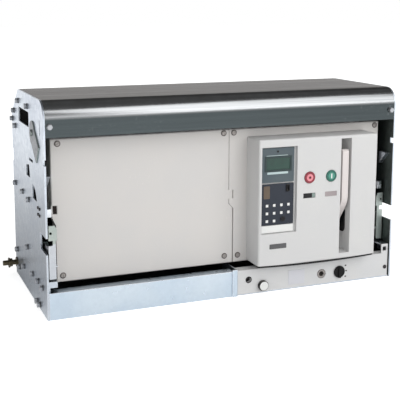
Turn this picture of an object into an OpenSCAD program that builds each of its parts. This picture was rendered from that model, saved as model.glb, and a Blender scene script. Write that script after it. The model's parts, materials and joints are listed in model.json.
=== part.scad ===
// Draw-out air circuit breaker standing in its cradle, in millimetres.
// X runs to the right seen from the front, the front faces -Y, Z is up.
// The origin is the middle of the cradle's footprint, on its underside.
// Depths inside the modules are counted from the front edge of the side plates.

/* [Cradle] */
// Spacing of the pole bays, which sets the width
pole_pitch = 115; // [110:1:125]
// Number of pole bays
pole_n = 6; // [3:1:6]
// Room beside the outer pole bays
side_room = 61.5; // [58:0.5:75]
// Height from the underside to the hood's top
cradle_h = 446; // [420:1:480]
// Depth of the side plates
cradle_d = 358; // [330:1:400]
// Thickness of the side plates
plate_t = 4; // [2:0.5:5]
// Length of the slanted rear top corner of the side plates
rear_cut_l = 86; // [70:1:95]
// Height of the slanted rear top corner
rear_cut_h = 62; // [50:1:68]
// Thickness of the base plate
base_t = 3; // [2:0.5:5]
// Distance of the base plate's rear edge from the plates' rear edge
base_rear_gap = 18; // [5:1:25]
// Radius of the four fixing holes in the base plate
fixing_r = 5.5; // [4:0.5:7]
// Distance of the fixing holes from the side plates
fixing_in_x = 62.5; // [40:0.5:90]
// Distance of the fixing holes from the plates' front and rear edges
fixing_in_y = 59; // [40:1:80]

/* [Hood] */
// Depth of the hood from the front edge
hood_d = 275; // [240:1:300]
// Sheet thickness of the hood
hood_t = 2; // [1.5:0.5:3]
// Outer radius of the rolled front edge
hood_r = 38; // [30:1:42]
// Height of the front lip, measured from the top
hood_lip_h = 72; // [66:1:80]
// Height of the flanges at the hood's two ends
hood_flange_h = 20; // [12:1:24]
// Width of the tab behind the lip that the hood is bolted to
lip_tab_w = 20; // [14:1:26]
// Height of the lip tab
lip_tab_h = 20; // [12:1:24]
// Height of the lip tab's lower edge above the lip's lower edge
lip_tab_up = 12; // [4:1:14]

/* [Side plate openings] */
// How far the finger notch reaches below the rail's top
notch_down = 9; // [5:1:15]
// Height of the finger notch
notch_h = 34; // [25:1:40]
// Depth of the finger notch
notch_d = 58; // [40:1:60]
// Distance of the hook notch's lower edge below the hood's lip
hook_drop = 56; // [50:1:60]
// Height of the hook notch
hook_h = 12; // [8:1:14]
// Depth of the hook notch
hook_d = 12; // [8:1:16]
// Length of the wiring window
window_l = 120; // [80:1:125]
// Height of the wiring window
window_h = 32; // [20:1:34]
// Distance of the wiring window from the front edge
window_y = 150; // [140:1:160]
// Height of the wiring window's lower edge above the hood's lip
window_up = 2; // [1:0.5:6]
// Length of the narrow slit
slit_l = 44; // [30:1:50]
// Height of the narrow slit
slit_h = 6; // [4:0.5:8]
// Distance of the slit from the front edge
slit_y = 115; // [110:1:120]
// Distance of the slit below the hood's lip
slit_drop = 69; // [64:1:72]
// Length of the upper cam opening
cam_l = 43; // [30:1:45]
// Height of the upper cam opening
cam_h = 28; // [20:1:30]
// Distance of the upper cam opening from the front edge
cam_y = 150; // [145:1:155]
// Distance of its lower edge below the hood's lip
cam_drop = 107; // [100:1:112]
// Radius of the lower, half-moon cam opening
moon_r = 37; // [30:1:40]
// Distance of the half-moon's rear edge from the front edge
moon_y = 131; // [125:1:135]
// Distance of the half-moon's centre in front of its rear edge
moon_in = 12; // [6:1:16]
// Distance of the half-moon's centre below its lower edge
moon_sink = 8; // [4:1:12]
// Distance of its lower edge below the hood's lip
moon_drop = 145; // [138:1:150]
// Width of the upright slot near the front edge
front_slot_w = 7; // [5:0.5:10]
// Height of the upright slot
front_slot_h = 32; // [20:1:34]
// Distance of the upright slot from the front edge
front_slot_y = 33; // [28:1:38]
// Height of the notch in the rear edge
rear_notch_h = 30; // [20:1:36]
// Depth of the notch in the rear edge
rear_notch_d = 8; // [5:1:10]
// Distance of the rear notch's lower edge below the hood's lip
rear_notch_drop = 103; // [95:1:110]
// Reach of the gusset inside the plate's front edge
gusset_w = 10; // [6:0.5:10.5]
// Length of the gusset's sides
gusset_l = 28; // [18:1:30]
// Distance of the gusset from the front edge
gusset_y = 14; // [8:1:18]
// Distance of the gusset's top below the hood's lip
gusset_drop = 80; // [76:1:90]

/* [Front beam and racking panel] */
// Height of the front beam and the racking panel
beam_h = 57; // [50:1:64]
// Sheet thickness of the beam and the racking panel
beam_t = 3; // [2:0.5:4]
// Depth of their flanges
beam_flange = 22; // [15:1:28]
// Place of the beam's right end
beam_end_x = 3; // [-10:1:10]
// Width of the end bracket's front flange
bracket_w = 12; // [8:1:16]
// How far the end bracket's flange laps over the beam
bracket_lap = 3; // [2:0.5:6]
// How far the end bracket stands above the beam
bracket_up = 4; // [0:1:4]
// Depth of the end bracket
bracket_d = 80; // [50:1:90]
// Gap between the end bracket and the racking panel
panel_gap = 2; // [1:0.5:4]
// Gap between the racking panel and the right side plate
panel_side_gap = 2.5; // [2:0.5:6]
// Height of the step at the panel's left part
step_t = 2; // [1:0.5:2.5]
// Margin of the step beside the release knob
step_edge = 6.5; // [4:0.5:12]
// Width of the ear at the panel's right end
ear_w = 17; // [14:1:18]
// Height of the ear above the panel
ear_h = 22; // [16:1:26]
// Side of the square hole in the ear
ear_hole = 10; // [6:1:11]
// Radius of the lock hole
lock_r = 5; // [3:0.5:6]
// Distance of the lock hole from the panel's left end
lock_u = 26; // [18:1:32]
// Height of the lock hole
lock_z = 34; // [28:1:40]
// Radius of the release knob
knob_r = 11.5; // [8:0.5:13]
// Length of the release knob
knob_l = 9; // [6:1:14]
// Rounding of the release knob's rim
knob_round = 2; // [1:0.5:3]
// Distance of the release knob from the panel's left end
knob_u = 60; // [52:1:66]
// Height of the release knob
knob_z = 18; // [16:1:24]
// Radius of the racking crank's socket bore
crank_r = 6; // [4:0.5:7]
// Depth of the racking crank's socket
crank_depth = 46; // [30:1:60]
// Wall of the crank socket
crank_wall = 3; // [2:0.5:4]
// Gap round the crank socket in the panel's hole
crank_gap = 2; // [1:0.5:4]
// Distance of the crank socket from the panel's step
crank_u = 132; // [115:1:140]
// Radius of the position dial
dial_r = 14; // [10:0.5:16]
// Thickness of the position dial's disc
dial_t = 3; // [2:0.5:5]
// Width of the position dial's pointer bar
dial_bar_w = 5.6; // [4:0.2:7]
// Height of the position dial's pointer bar
dial_bar_t = 3; // [2:0.5:5]
// Distance of the position dial from the crank socket
dial_u = 46; // [40:1:60]
// Height of the crank socket and the position dial
dial_z = 26; // [24:1:32]

/* [Rails] */
// Gap between the rails and the ear and brackets below them
rail_clear = 6; // [5:0.5:10]
// Height of the rails
rail_h = 61; // [52:1:70]
// Thickness of the rails
rail_t = 3; // [2:0.5:4]
// How far the pull flange reaches over the rail's top
pull_up = 9; // [4:1:12]
// Height of the finger gap between the pull flange and the latch tab
finger_h = 10; // [6:1:14]
// Width of the neck that carries the latch tab
latch_neck = 6; // [4:0.5:8]
// Height of the latch tab
latch_h = 31; // [24:1:36]
// How far the latch tab reaches up beside the covers' slanted corner
latch_over = 9; // [4:1:12]
// Gap between the latch tab and the cover beside it
latch_side = 6; // [6:0.5:8]
// Gap between the pull flange and the cover beside it
pull_side = 9; // [6:0.5:12]
// Gap between the ledge and the cover beside it
ledge_side = 5; // [5:0.5:8]
// Height of the ledge above the rail's lower edge
ledge_up = 27; // [20:1:32]
// Radius of the hole in the latch tab
latch_hole_r = 2.5; // [1.5:0.5:4]
// Distance of the left rail's front end from the plates' front edge
rail_front = 3; // [2:0.5:5]
// How far the right rail's front end sits behind the left one's
rail_set_back = 29; // [0:1:30]
// Distance of the rail's web from the side plate
rail_off = 5; // [4:0.5:6]
// Depth of the rail guide's channel
guide_w = 12; // [11:0.5:13]
// Sheet thickness of the rail guide
guide_t = 2; // [1.5:0.5:3]
// Height of the guide's retaining lips
guide_lip = 8; // [5:1:10]
// Distance of the guide's front end behind the finger notch
guide_setback = 4; // [2:1:8]
// Running gap between the rail and its guide
rail_run = 0.3; // [0.2:0.1:0.5]
// Gap between the rails and the rear base
rail_rear_gap = 8; // [6:1:12]
// Width of the rail brackets on the beam
rail_bracket_w = 19; // [14:1:20]
// Depth of the rail brackets
rail_bracket_d = 40; // [25:1:50]
// Height of the front flange of the left rail bracket
rail_bracket_lip = 13; // [8:1:15]

/* [Rear base and terminals] */
// Distance of the rear base's back from the plates' rear edge
rear_inset = 28; // [20:1:35]
// Thickness of the rear base
rear_t = 30; // [20:1:36]
// Gap between the rear base's top and the plates' slanted corner
rear_top_gap = 6; // [2:1:20]
// Depth of the panels sunk into the rear base's back
rear_pocket = 6; // [3:0.5:10]
// Margin of those panels around the terminals and barriers
rear_pocket_in = 12; // [8:1:20]
// Gap between two neighbouring terminal bars
bar_space = 25; // [18:1:40]
// Thickness of a terminal bar
bar_t = 15; // [10:1:20]
// Length of a terminal bar behind the rear base
bar_out = 70; // [60:1:90]
// Length of a terminal bar in front of the rear base
stab_l = 38; // [30:1:44]
// Height of the lower terminals above the truck's underside
lower_up = 62; // [55:1:70]
// Distance of the upper terminals below the case's top
upper_down = 26; // [24:1:34]
// Radius of the terminal bolt holes
bar_hole_r = 6.5; // [5:0.5:7]
// Spacing of the two holes of a terminal
bar_hole_span = 50; // [40:1:55]
// Distance of the holes from a terminal's end
bar_hole_in = 22; // [18:1:28]
// Thickness of the barriers between the terminals
barrier_t = 6; // [4:1:10]
// Depth of those barriers
barrier_d = 24; // [15:1:28]
// How far the barriers reach over and under the terminals
barrier_over = 50; // [30:1:55]
// Radius of the earth stud
stud_r = 6; // [5:0.5:8]
// Length of the earth stud
stud_l = 34; // [30:1:40]
// Thickness of the earth stud's washers
washer_t = 3; // [2:0.5:4]
// Free length of the earth stud outside its clamping washer
stud_free = 13; // [10:1:16]
// Distance of the earth stud from the plates' rear edge
stud_in = 16; // [14:1:24]
// Height of the earth stud
stud_z = 28; // [20:1:34]

/* [Secondary terminals] */
// Height of the terminal rail above the hood lip's lower edge
sec_up = 10; // [6:1:14]
// Depth of the terminal rail
sec_d = 40; // [30:1:50]
// Distance of the terminal rail from the front edge
sec_y = 20; // [16:1:30]
// Height of the terminal blocks
sec_h = 34; // [25:1:40]
// Length of one terminal block
sec_l = 60; // [50:1:64]
// Gap between two terminal blocks
sec_gap = 8; // [4:1:12]
// Number of terminal blocks
sec_n = 10; // [6:1:10]
// Height of the step at the terminal blocks' rear
sec_step_h = 14; // [8:1:20]
// Depth of that step
sec_step_d = 14; // [8:1:20]

/* [Truck] */
// Gap between the truck's underside and the beam below it
truck_under_gap = 9; // [9:0.5:14]
// Gap between the truck's top and the hood's lip
truck_top_gap = 8; // [6:1:14]
// Distance of the cover plane behind the plates' front edge
cover_recess = 38; // [32:1:44]
// Depth of the pan-shaped covers
cover_depth = 35; // [25:1:40]
// Wall thickness of the covers
cover_t = 2.5; // [2:0.5:4]
// Rounding of the covers' front edges
cover_round = 3; // [1:0.5:5]
// Gap between the covers and the side plates
cover_side_gap = 16.5; // [15:0.5:20]
// Place of the seam between the two covers
seam_x = 6; // [0:1:10]
// Width of the seam
seam_gap = 1; // [0.5:0.25:2]
// Width of the tab and step in the seam
seam_tab = 11; // [8:1:14]
// Height of the seam's tab above the truck's underside
seam_up = 146; // [130:1:160]
// Height of the tab in the seam
seam_tab_h = 19; // [12:1:24]
// Width of the cut at the covers' lower outer corners
corner_cut_w = 9; // [6:1:12]
// Height of the slanted part over that cut
corner_slope = 18; // [14:1:24]
// Depth of the case's full-height mechanism box
mech_d = 32; // [24:1:36]
// Gap between the mechanism box and the truck's top
mech_top_gap = 4; // [2:1:8]
// Distance between the case's back and the rear base
contact_space = 77; // [70:1:85]
// Thickness of the truck's side cheeks
cheek_t = 3; // [2:0.5:4]
// Distance of the side cheeks' top below the truck's top
cheek_drop = 66; // [50:1:80]
// Gap between the side cheeks and the cut corner of the covers
cheek_gap = 0.5; // [0.3:0.1:1]
// Length of a support lug
lug_l = 30; // [20:1:35]
// Gap between the support lugs and the guide's upper lip
lug_clear = 8; // [5:1:10]
// Gap between the support lugs and the rail's ledge
lug_run = 0.3; // [0.2:0.1:0.5]
// Overlap of a support lug on the rail's ledge
lug_bearing = 10; // [6:1:11]
// Distance of the front lugs behind the right rail's pull flange
lug_lead = 76; // [75:1:90]
// Distance of the second lug from the case's back
lug_rear = 3; // [2:1:10]
// Gap between the lock bars and the side plates
lock_side = 5.5; // [5:0.5:7]
// Gap between the lock bars and the covers
lock_inner = 1; // [0.5:0.5:3]
// Height of the lock bars above the covers' slanted corner
lock_up = 1; // [0:0.5:6]
// Height of the lock bars
lock_h = 17; // [12:1:24]
// How far the lock bars reach in front of the cover plane
lock_out = 4; // [0:1:8]
// Width of the square hole in the covers beside the lock bars
lock_hole_w = 11; // [8:1:14]
// Height of that hole
lock_hole_h = 18; // [10:1:20]
// How far the hole sits above the lock bar's middle
lock_hole_rise = 5; // [2:0.5:6]
// Height of the arc chutes
chute_h = 84; // [70:1:95]
// Gap between the arc chutes and the truck's top
chute_top_gap = 6; // [4:1:12]
// Gap between two neighbouring arc chutes
chute_space = 11; // [6:1:20]
// Gap between the arc chutes and the mechanism box
chute_gap = 2; // [1:0.5:5]
// Number of vent slots in an arc chute
chute_slots = 5; // [3:1:7]
// Width of a vent slot
chute_slot_w = 9; // [5:0.5:11]
// Depth of a vent slot
chute_slot_d = 20; // [10:1:30]
// Margin of the vent slots at the chute's front and rear
chute_rim = 10; // [6:1:14]
// Margin of a contact jaw on the bar's sides
jaw_side = 5; // [2:0.5:10]
// Thickness of a contact jaw
jaw_t = 9; // [6:1:12]
// Gap between a contact jaw and the bar it grips
jaw_gap = 0.5; // [0.3:0.1:1]
// Gap between the contact jaws and the rear base
jaw_end_gap = 10; // [6:1:15]
// Number of fingers in a contact jaw
finger_n = 6; // [4:1:8]
// Gap between two fingers
finger_gap = 2; // [1:0.5:3]
// Length of the slots between the fingers
finger_l = 48; // [30:1:52]
// Thickness of the barriers between the poles
rib_t = 4; // [3:1:8]
// Depth of those barriers
rib_d = 30; // [20:1:34]

/* [Operator face] */
// Distance of the face housing from the seam
face_margin = 44; // [34:1:50]
// Distance of the face housing from the cover's right edge
face_side = 41; // [34:1:48]
// Distance of the face housing's top below the truck's top
face_top_gap = 18; // [12:1:24]
// How far the face stands in front of the covers
face_proud = 63; // [58:1:70]
// Radius of the face housing's corners
face_r = 4; // [2:0.5:6]
// How far the face's lower edge bows down in the middle
face_bow = 4; // [2:0.5:6]
// Rounding of the face's front edges
face_round = 5; // [2:0.5:7]
// Distance of the trip unit's pocket from the face's left edge
unit_u = 7; // [7:1:12]
// Height of the pocket above the face's lower edge
unit_v = 74; // [66:1:84]
// Distance of the pocket's top below the face's top
unit_top = 17; // [12:1:24]
// Width of the pocket
unit_w = 85; // [76:1:96]
// Depth of the pocket
unit_depth = 8; // [6:1:12]
// Thickness of the display and keypad modules
module_t = 4; // [3:0.5:5]
// Margin of the modules at the pocket's left, top and bottom
module_margin = 2; // [1:0.5:3]
// Margin of the modules at the pocket's right
module_side = 6; // [3:0.5:8]
// Share of the display in the height of display and keypad
display_share = 0.455; // [0.4:0.005:0.55]
// Height of the setting strip
strip_h = 16; // [10:1:18]
// Gap between the setting strip and the keypad
strip_gap = 1; // [0.5:0.5:3]
// Gap between the keypad and the display
module_gap = 3; // [2:0.5:4]
// Width of the screen
screen_w = 57; // [48:1:60]
// Height of the screen
screen_h = 26; // [20:1:30]
// How far the screen sits above the display's middle
screen_rise = 3; // [0:0.5:5]
// Depth of the screen's recess
screen_in = 1.5; // [1:0.25:2]
// Thickness of the screen's pane
screen_t = 1; // [0.5:0.25:1]
// Side of a key
key_w = 6; // [4:0.5:8]
// Height of a key
key_t = 1; // [0.5:0.25:2]
// Spacing of the keys
key_pitch = 17.3; // [15:0.1:18]
// Height of the lowest key row above the keypad's edge
key_up = 9; // [6:0.5:12]
// Radius of the push buttons
button_r = 13; // [10:0.5:14]
// Gap round the push buttons
button_gap = 0.5; // [0.3:0.1:0.8]
// Length of the push buttons
button_l = 9; // [7:0.5:10]
// How far the buttons stand out of the face
button_proud = 2; // [1:0.5:4]
// Depth of the button holes
button_hole = 16; // [15:1:20]
// Width of the button's raised rim
button_rim = 4; // [2:0.5:5]
// Depth of the dish in the button's front
button_dish = 1; // [0.5:0.25:2]
// Distance of the off button from the trip unit's pocket
off_gap = 31; // [22:1:36]
// Spacing of the two buttons
button_pitch = 54; // [40:1:60]
// Distance of the buttons below the face's top
button_down = 89; // [80:1:96]
// Width of the indicator windows
sight_w = 30; // [24:1:36]
// Height of the indicator windows
sight_h = 11; // [8:0.5:13]
// Depth of the indicator windows
sight_d = 2; // [1.5:0.5:3]
// Thickness of the flags in the indicator windows
flag_t = 1; // [0.5:0.25:1.5]
// Distance of the indicator windows' lower edge below the buttons
sight_drop = 46; // [38:1:52]

/* [Charging handle] */
// Distance of the handle's slot from the on button
slot_gap = 24; // [18:1:30]
// Width of the slot
slot_w = 26.5; // [24:0.5:30]
// Height of the slot's lower end above the face's lower edge
slot_v = 13; // [8:1:18]
// Distance of the slot's top below the face's top
slot_top = 7; // [6:1:12]
// Depth of the slot
slot_depth = 45; // [40:1:52]
// Gap between the handle and each side of the slot
handle_gap = 5.25; // [5:0.05:6]
// Gap between the handle's top and the slot's top
handle_top_gap = 26; // [20:1:34]
// Height of the pivot above the slot's lower end
pivot_up = 45; // [42:1:50]
// Depth of the pivot behind the face
pivot_in = 52; // [46:1:54]
// Radius of the pivot pin
pin_r = 4; // [3:0.5:5]
// Running gap between the pin and the handle
pin_run = 0.08; // [0.05:0.01:0.1]
// Radius of the handle's hub
hub_r = 9; // [8:0.5:10]
// Gap between the hub and the lower end of the opening in the slot's back
well_gap = 8; // [5:1:12]
// Thickness of the handle's grip
grip_t = 12; // [10:1:14]
// Distance from the pivot to the lower end of the straight grip
neck_l = 85; // [70:1:95]
// Depth of the grip's front below the face
grip_in = 2; // [1:0.5:3]
// Rounding of the grip's top
grip_round = 4; // [2:0.5:5]

/* [Side links] */
// Width of a side link
link_w = 44; // [36:1:48]
// Radius of the eye at a side link's pivot
link_eye_r = 25; // [25:0.5:28]
// Length of a side link
link_l = 66; // [58:1:76]
// Thickness of a side link
link_t = 3; // [2:0.5:4]
// Distance of the link's pivot from the front edge
link_y = 106; // [100:1:112]
// Height of the link's pivot below the hood's lip
link_down = 3; // [0:0.5:5]
// Slope of the link, downwards to the front
link_slope = 37; // [32:1:42]
// Radius of the link's pivot head
link_pin_r = 7; // [5:0.5:9]

/* [Hidden] */
$fn = 48;
over = 1;
cradle_w = pole_n * pole_pitch + 2 * side_room;
front = -cradle_d / 2;
in_x = cradle_w / 2 - plate_t;
lip_z = cradle_h - hood_lip_h;

// Height of the plates' slanted rear corner at a depth
function rear_cut_z(y) = cradle_h - (y - cradle_d + rear_cut_l) * rear_cut_h / rear_cut_l;

// Front beam and racking panel
truck_z = beam_h + truck_under_gap;
bracket_x = beam_end_x - bracket_lap;
panel_x0 = bracket_x + bracket_w + panel_gap;
panel_x1 = in_x - panel_side_gap;
step_w = knob_u + knob_r + step_edge;
crank_x = panel_x0 + step_w + crank_u;
dial_x = crank_x + dial_u;
crank_out_r = crank_r + crank_wall;

// Truck
truck_top = lip_z - truck_top_gap;
cover_x = in_x - cover_side_gap;
cut_x = cover_x - corner_cut_w;
case_y = cover_recess + cover_depth;
case_top = truck_top - chute_top_gap - chute_h;
rear_back = cradle_d - rear_inset;
rear_front = rear_back - rear_t;
case_back = rear_front - contact_space;
cheek_x = cut_x - cheek_gap;
case_x = cheek_x - cheek_t;

// Rails, with places counted on the left side
rail_z = beam_h + ear_h + rail_clear;
rail_top = rail_z + rail_h;
rail_x = in_x - rail_off;
rail_end = rear_front - rail_rear_gap;
guide_y = notch_d + guide_setback;
ledge_x = cut_x + ledge_side;
ledge_top = rail_z + ledge_up;
lug_y = rail_front + rail_set_back + rail_t + lug_lead;
lug_z = ledge_top + lug_run;
lug_top = rail_top - guide_lip - lug_clear;
pull_top = rail_top + pull_up;
latch_z = pull_top + finger_h;
latch_top = latch_z + latch_h;
cut_z = latch_top - latch_over;
lock_bar_z = cut_z + corner_slope + lock_up;
notch_z = rail_top - notch_down;

// Poles
bar_w = pole_pitch - bar_space;
lower_z = truck_z + lower_up;
upper_z = case_top - upper_down;
pole_x = [for (i = [0:pole_n - 1]) (i - (pole_n - 1) / 2) * pole_pitch];
bay_x = [for (i = [0:pole_n]) (i - pole_n / 2) * pole_pitch];

// Operator face
face_x = seam_x + face_margin;
face_w = cover_x - face_side - face_x;
face_top = truck_top - face_top_gap;
face_y = cover_recess - face_proud;
unit_x = face_x + unit_u;
unit_z = truck_z + unit_v;
unit_h = face_top - unit_top - unit_z;
pocket_y = face_y + unit_depth;
module_x = unit_x + module_margin;
module_w = unit_w - module_margin - module_side;
strip_z = unit_z + module_margin;
keypad_z = strip_z + strip_h + strip_gap;
panels_h = unit_z + unit_h - module_margin - keypad_z - module_gap;
keypad_h = panels_h * (1 - display_share);
display_z = keypad_z + keypad_h + module_gap;
display_h = panels_h * display_share;
screen_x = module_x + (module_w - screen_w) / 2;
screen_z = display_z + (display_h - screen_h) / 2 + screen_rise;
off_x = unit_x + unit_w + off_gap;
on_x = off_x + button_pitch;
button_z = face_top - button_down;
sight_z = button_z - sight_drop;
slot_x = on_x + slot_gap;
slot_z = truck_z + slot_v;
slot_end_z = face_top - slot_top;
pivot_y = face_y + pivot_in;
pivot_z = slot_z + pivot_up;
grip_y = face_y + grip_in;
grip_z = pivot_z + neck_l;
grip_top = slot_end_z - handle_top_gap;
well_z = [pivot_z - hub_r - well_gap, grip_z];

// Secondary terminals
sec_z = lip_z + sec_up;

// Colours
zinc = "#cfd4da";
beige = "#d5d2ce";
pale_grey = "#dededc";
black = "#1c1d20";
copper = "#b8734a";

// Box between two places on each axis, with depths counted from the front edge
module slab(x, y, z) {
  translate([x[0], front + y[0], z[0]])
    cube([x[1] - x[0], y[1] - y[0], z[1] - z[0]]);
}

// Round bars along each axis
module rod_x(x, y, z, r) {
  translate([x[0], front + y, z]) rotate([0, 90, 0]) cylinder(r = r, h = x[1] - x[0]);
}

module rod_y(x, y, z, r) {
  translate([x, front + y[0], z]) rotate([-90, 0, 0]) cylinder(r = r, h = y[1] - y[0]);
}

module rod_z(x, y, z, r) {
  translate([x, front + y, z[0]]) cylinder(r = r, h = z[1] - z[0]);
}

// Flat outline drawn in depth and height, made thick along X
module sheet_x(x) {
  translate([x[0], front, 0]) rotate([90, 0, 90]) linear_extrude(x[1] - x[0]) children();
}

// Flat outline drawn in X and height, made thick along the depth
module sheet_y(y) {
  translate([0, front + y[1], 0]) rotate([90, 0, 0]) linear_extrude(y[1] - y[0]) children();
}

// Flat outline drawn in X and depth, made thick along the height
module sheet_z(z) {
  translate([0, front, z[0]]) linear_extrude(z[1] - z[0]) children();
}

// Shape turned about the front-to-back axis, drawn in radius and depth from its front
module turned(x, y, z) {
  translate([x, front + y, z]) rotate([-90, 0, 0]) rotate_extrude() children();
}

module on_right() {
  mirror([1, 0, 0]) children();
}

module on_both() {
  children();
  on_right() children();
}

// Rectangle whose four corners are round
module round_rect(x, z, r) {
  translate([x[0] + r, z[0]]) square([x[1] - x[0] - 2 * r, z[1] - z[0]]);
  translate([x[0], z[0] + r]) square([x[1] - x[0], z[1] - z[0] - 2 * r]);
  for (cx = [x[0] + r, x[1] - r], cz = [z[0] + r, z[1] - r])
    translate([cx, cz]) circle(r);
}

// Rectangle from u to v whose two corners on the side v[0] are round
module round_front(u, v, r) {
  translate([u[0] + r, v[0]]) square([u[1] - u[0] - 2 * r, v[1] - v[0]]);
  translate([u[0], v[0] + r]) square([u[1] - u[0], v[1] - v[0] - r]);
  for (c = [u[0] + r, u[1] - r])
    translate([c, v[0] + r]) circle(r);
}

// Box with its four front edges rounded
module soft_front(x, y, z, r) {
  intersection() {
    sheet_z(z) round_front(x, y, r);
    sheet_x(x) mirror([1, -1]) round_front(z, y, r);
  }
}

// Region behind and under the hood's outer line, its front top corner round
module under_bend(d, h, r) {
  square([d, h - r]);
  translate([r, 0]) square([d - r, h]);
  translate([r, h - r]) circle(r);
}

// Outline of a side plate with its openings
module plate_outline() {
  difference() {
    under_bend(cradle_d, cradle_h, hood_r);
    translate([-over, notch_z]) square([notch_d + over, notch_h]);
    translate([-over, lip_z - hook_drop]) square([hook_d + over, hook_h]);
    translate([window_y, lip_z + window_up]) square([window_l, window_h]);
    translate([slit_y, lip_z - slit_drop]) square([slit_l, slit_h]);
    translate([front_slot_y, lip_z]) square([front_slot_w, front_slot_h]);
    translate([cradle_d - rear_notch_d, lip_z - rear_notch_drop])
      square([rear_notch_d + over, rear_notch_h]);
    translate([cam_y, lip_z - cam_drop])
      polygon([[0, 0], [cam_l, 0], [cam_l, cam_h * 0.8], [cam_l * 0.2, cam_h]]);
    translate([moon_y, lip_z - moon_drop]) intersection() {
      translate([-moon_in, -moon_sink]) circle(moon_r);
      translate([-2 * moon_r, 0]) square([2 * moon_r, moon_r]);
    }
    translate([cradle_d, cradle_h]) polygon([[-rear_cut_l, 0], [-rear_cut_l, over], [over, over],
      [over, -rear_cut_h], [0, -rear_cut_h]]);
  }
}

// Pierced plate with the tab that the hood's lip is bolted to and a gusset
module left_side_plate() {
  gusset_z = lip_z - gusset_drop;
  color(zinc) {
    sheet_x([-in_x - plate_t, -in_x]) plate_outline();
    slab([-in_x - plate_t, -in_x + lip_tab_w], [hood_t, hood_t + plate_t],
      [lip_z + lip_tab_up, lip_z + lip_tab_up + lip_tab_h]);
    sheet_x([-in_x - plate_t, -in_x + gusset_w]) polygon([[gusset_y, gusset_z],
      [gusset_y + gusset_l, gusset_z], [gusset_y + gusset_l, gusset_z - gusset_l]]);
  }
}

module right_side_plate() {
  on_right() left_side_plate();
}

// Top sheet rolled over a round front edge into a lip, with a flange at each end
module top_hood() {
  color("#6f6d69") {
    sheet_x([-in_x, in_x]) difference() {
      under_bend(hood_d, cradle_h, hood_r);
      translate([hood_t, 0]) under_bend(hood_d, cradle_h - hood_t, hood_r - hood_t);
      translate([-over, -over]) square([hood_d + over, lip_z + over]);
    }
    on_both() slab([-in_x, -in_x + hood_t], [hood_r + hood_t, hood_d],
      [cradle_h - hood_flange_h, cradle_h]);
  }
}

module base_plate() {
  color(zinc) difference() {
    slab([-in_x, in_x], [beam_t, cradle_d - base_rear_gap], [0, base_t]);
    for (sx = [-1, 1], y = [fixing_in_y, cradle_d - fixing_in_y])
      rod_z(sx * (in_x - fixing_in_x), y, [-over, base_t + over], fixing_r);
  }
}

// Angle across the left half: upright web with a top flange
module front_beam() {
  color("#c8d6e2") {
    slab([-in_x, beam_end_x], [0, beam_t], [0, beam_h]);
    slab([-in_x, beam_end_x], [0, beam_t + beam_flange], [beam_h - beam_t, beam_h]);
  }
}

// Angle that closes the beam's right end
module beam_bracket() {
  x1 = bracket_x + bracket_w;
  z1 = beam_h + bracket_up;
  color("#d4e0ea") {
    slab([bracket_x, x1], [-beam_t, 0], [0, z1]);
    slab([x1 - beam_t, x1], [-beam_t, beam_t], [0, z1]);
    slab([x1 - beam_t, x1], [0, bracket_d], [base_t, z1]);
  }
}

// Folded racking panel with its proud left part and the ear at the right
module racking_panel() {
  y0 = beam_t;
  y1 = y0 + beam_t;
  ear_x = panel_x1 - ear_w / 2;
  ear_z = beam_h + ear_h / 2;
  color(beige) difference() {
    union() {
      slab([panel_x0, panel_x1], [y0, y1], [base_t, beam_h]);
      slab([panel_x0, panel_x0 + step_w], [y0 - step_t, y1], [base_t, beam_h]);
      slab([panel_x1 - ear_w, panel_x1], [y0, y1], [base_t, beam_h + ear_h]);
      slab([panel_x0, panel_x1], [y0, y0 + beam_flange], [beam_h - beam_t, beam_h]);
      slab([panel_x0, panel_x1], [y0, y0 + beam_flange], [base_t, base_t + beam_t]);
    }
    rod_y(panel_x0 + lock_u, [-over, y1 + over], lock_z, lock_r);
    rod_y(crank_x, [-over, y1 + over], dial_z, crank_out_r + crank_gap);
    slab([ear_x - ear_hole / 2, ear_x + ear_hole / 2], [-over, y1 + over],
      [ear_z - ear_hole / 2, ear_z + ear_hole / 2]);
  }
}

// Blind tube with a flange that seats on the panel's back
module crank_socket() {
  y0 = 2 * beam_t;
  color("#9aa0a6") difference() {
    union() {
      rod_y(crank_x, [y0 - beam_t, y0 + crank_depth + crank_wall], dial_z, crank_out_r);
      rod_y(crank_x, [y0, y0 + crank_wall], dial_z, crank_out_r + crank_gap + crank_wall);
    }
    rod_y(crank_x, [y0 - beam_t - over, y0 + crank_depth], dial_z, crank_r);
  }
}

// Disc with a raised pointer bar across it
module position_dial() {
  y1 = beam_t - dial_t;
  color(black) {
    rod_y(dial_x, [y1, beam_t], dial_z, dial_r);
    intersection() {
      slab([dial_x - dial_bar_w / 2, dial_x + dial_bar_w / 2], [y1 - dial_bar_t, beam_t],
        [dial_z - dial_r, dial_z + dial_r]);
      rod_y(dial_x, [y1 - dial_bar_t, beam_t], dial_z, dial_r);
    }
  }
}

module release_knob() {
  y1 = beam_t - step_t;
  color("white") turned(panel_x0 + knob_u, y1 - knob_l, knob_z) {
    translate([0, knob_round]) square([knob_r, knob_l - knob_round]);
    square([knob_r - knob_round, knob_l]);
    translate([knob_r - knob_round, knob_round]) circle(knob_round);
  }
}

// Channel on the side plate that the rail slides in
module left_rail_guide() {
  x1 = -in_x + guide_w;
  z0 = rail_z - rail_run;
  z1 = rail_top + rail_run;
  y = [guide_y, rail_end];
  color("#b9bec4") {
    slab([-in_x, -in_x + guide_t], y, [z0 - guide_t, z1 + guide_t]);
    slab([-in_x, x1], y, [z0 - guide_t, z0]);
    slab([-in_x, x1], y, [z1, z1 + guide_t]);
    slab([x1 - guide_t, x1], y, [z0 - guide_t, z0 + guide_lip]);
    slab([x1 - guide_t, x1], y, [z1 - guide_lip, z1 + guide_t]);
  }
}

module right_rail_guide() {
  on_right() left_rail_guide();
}

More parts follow.
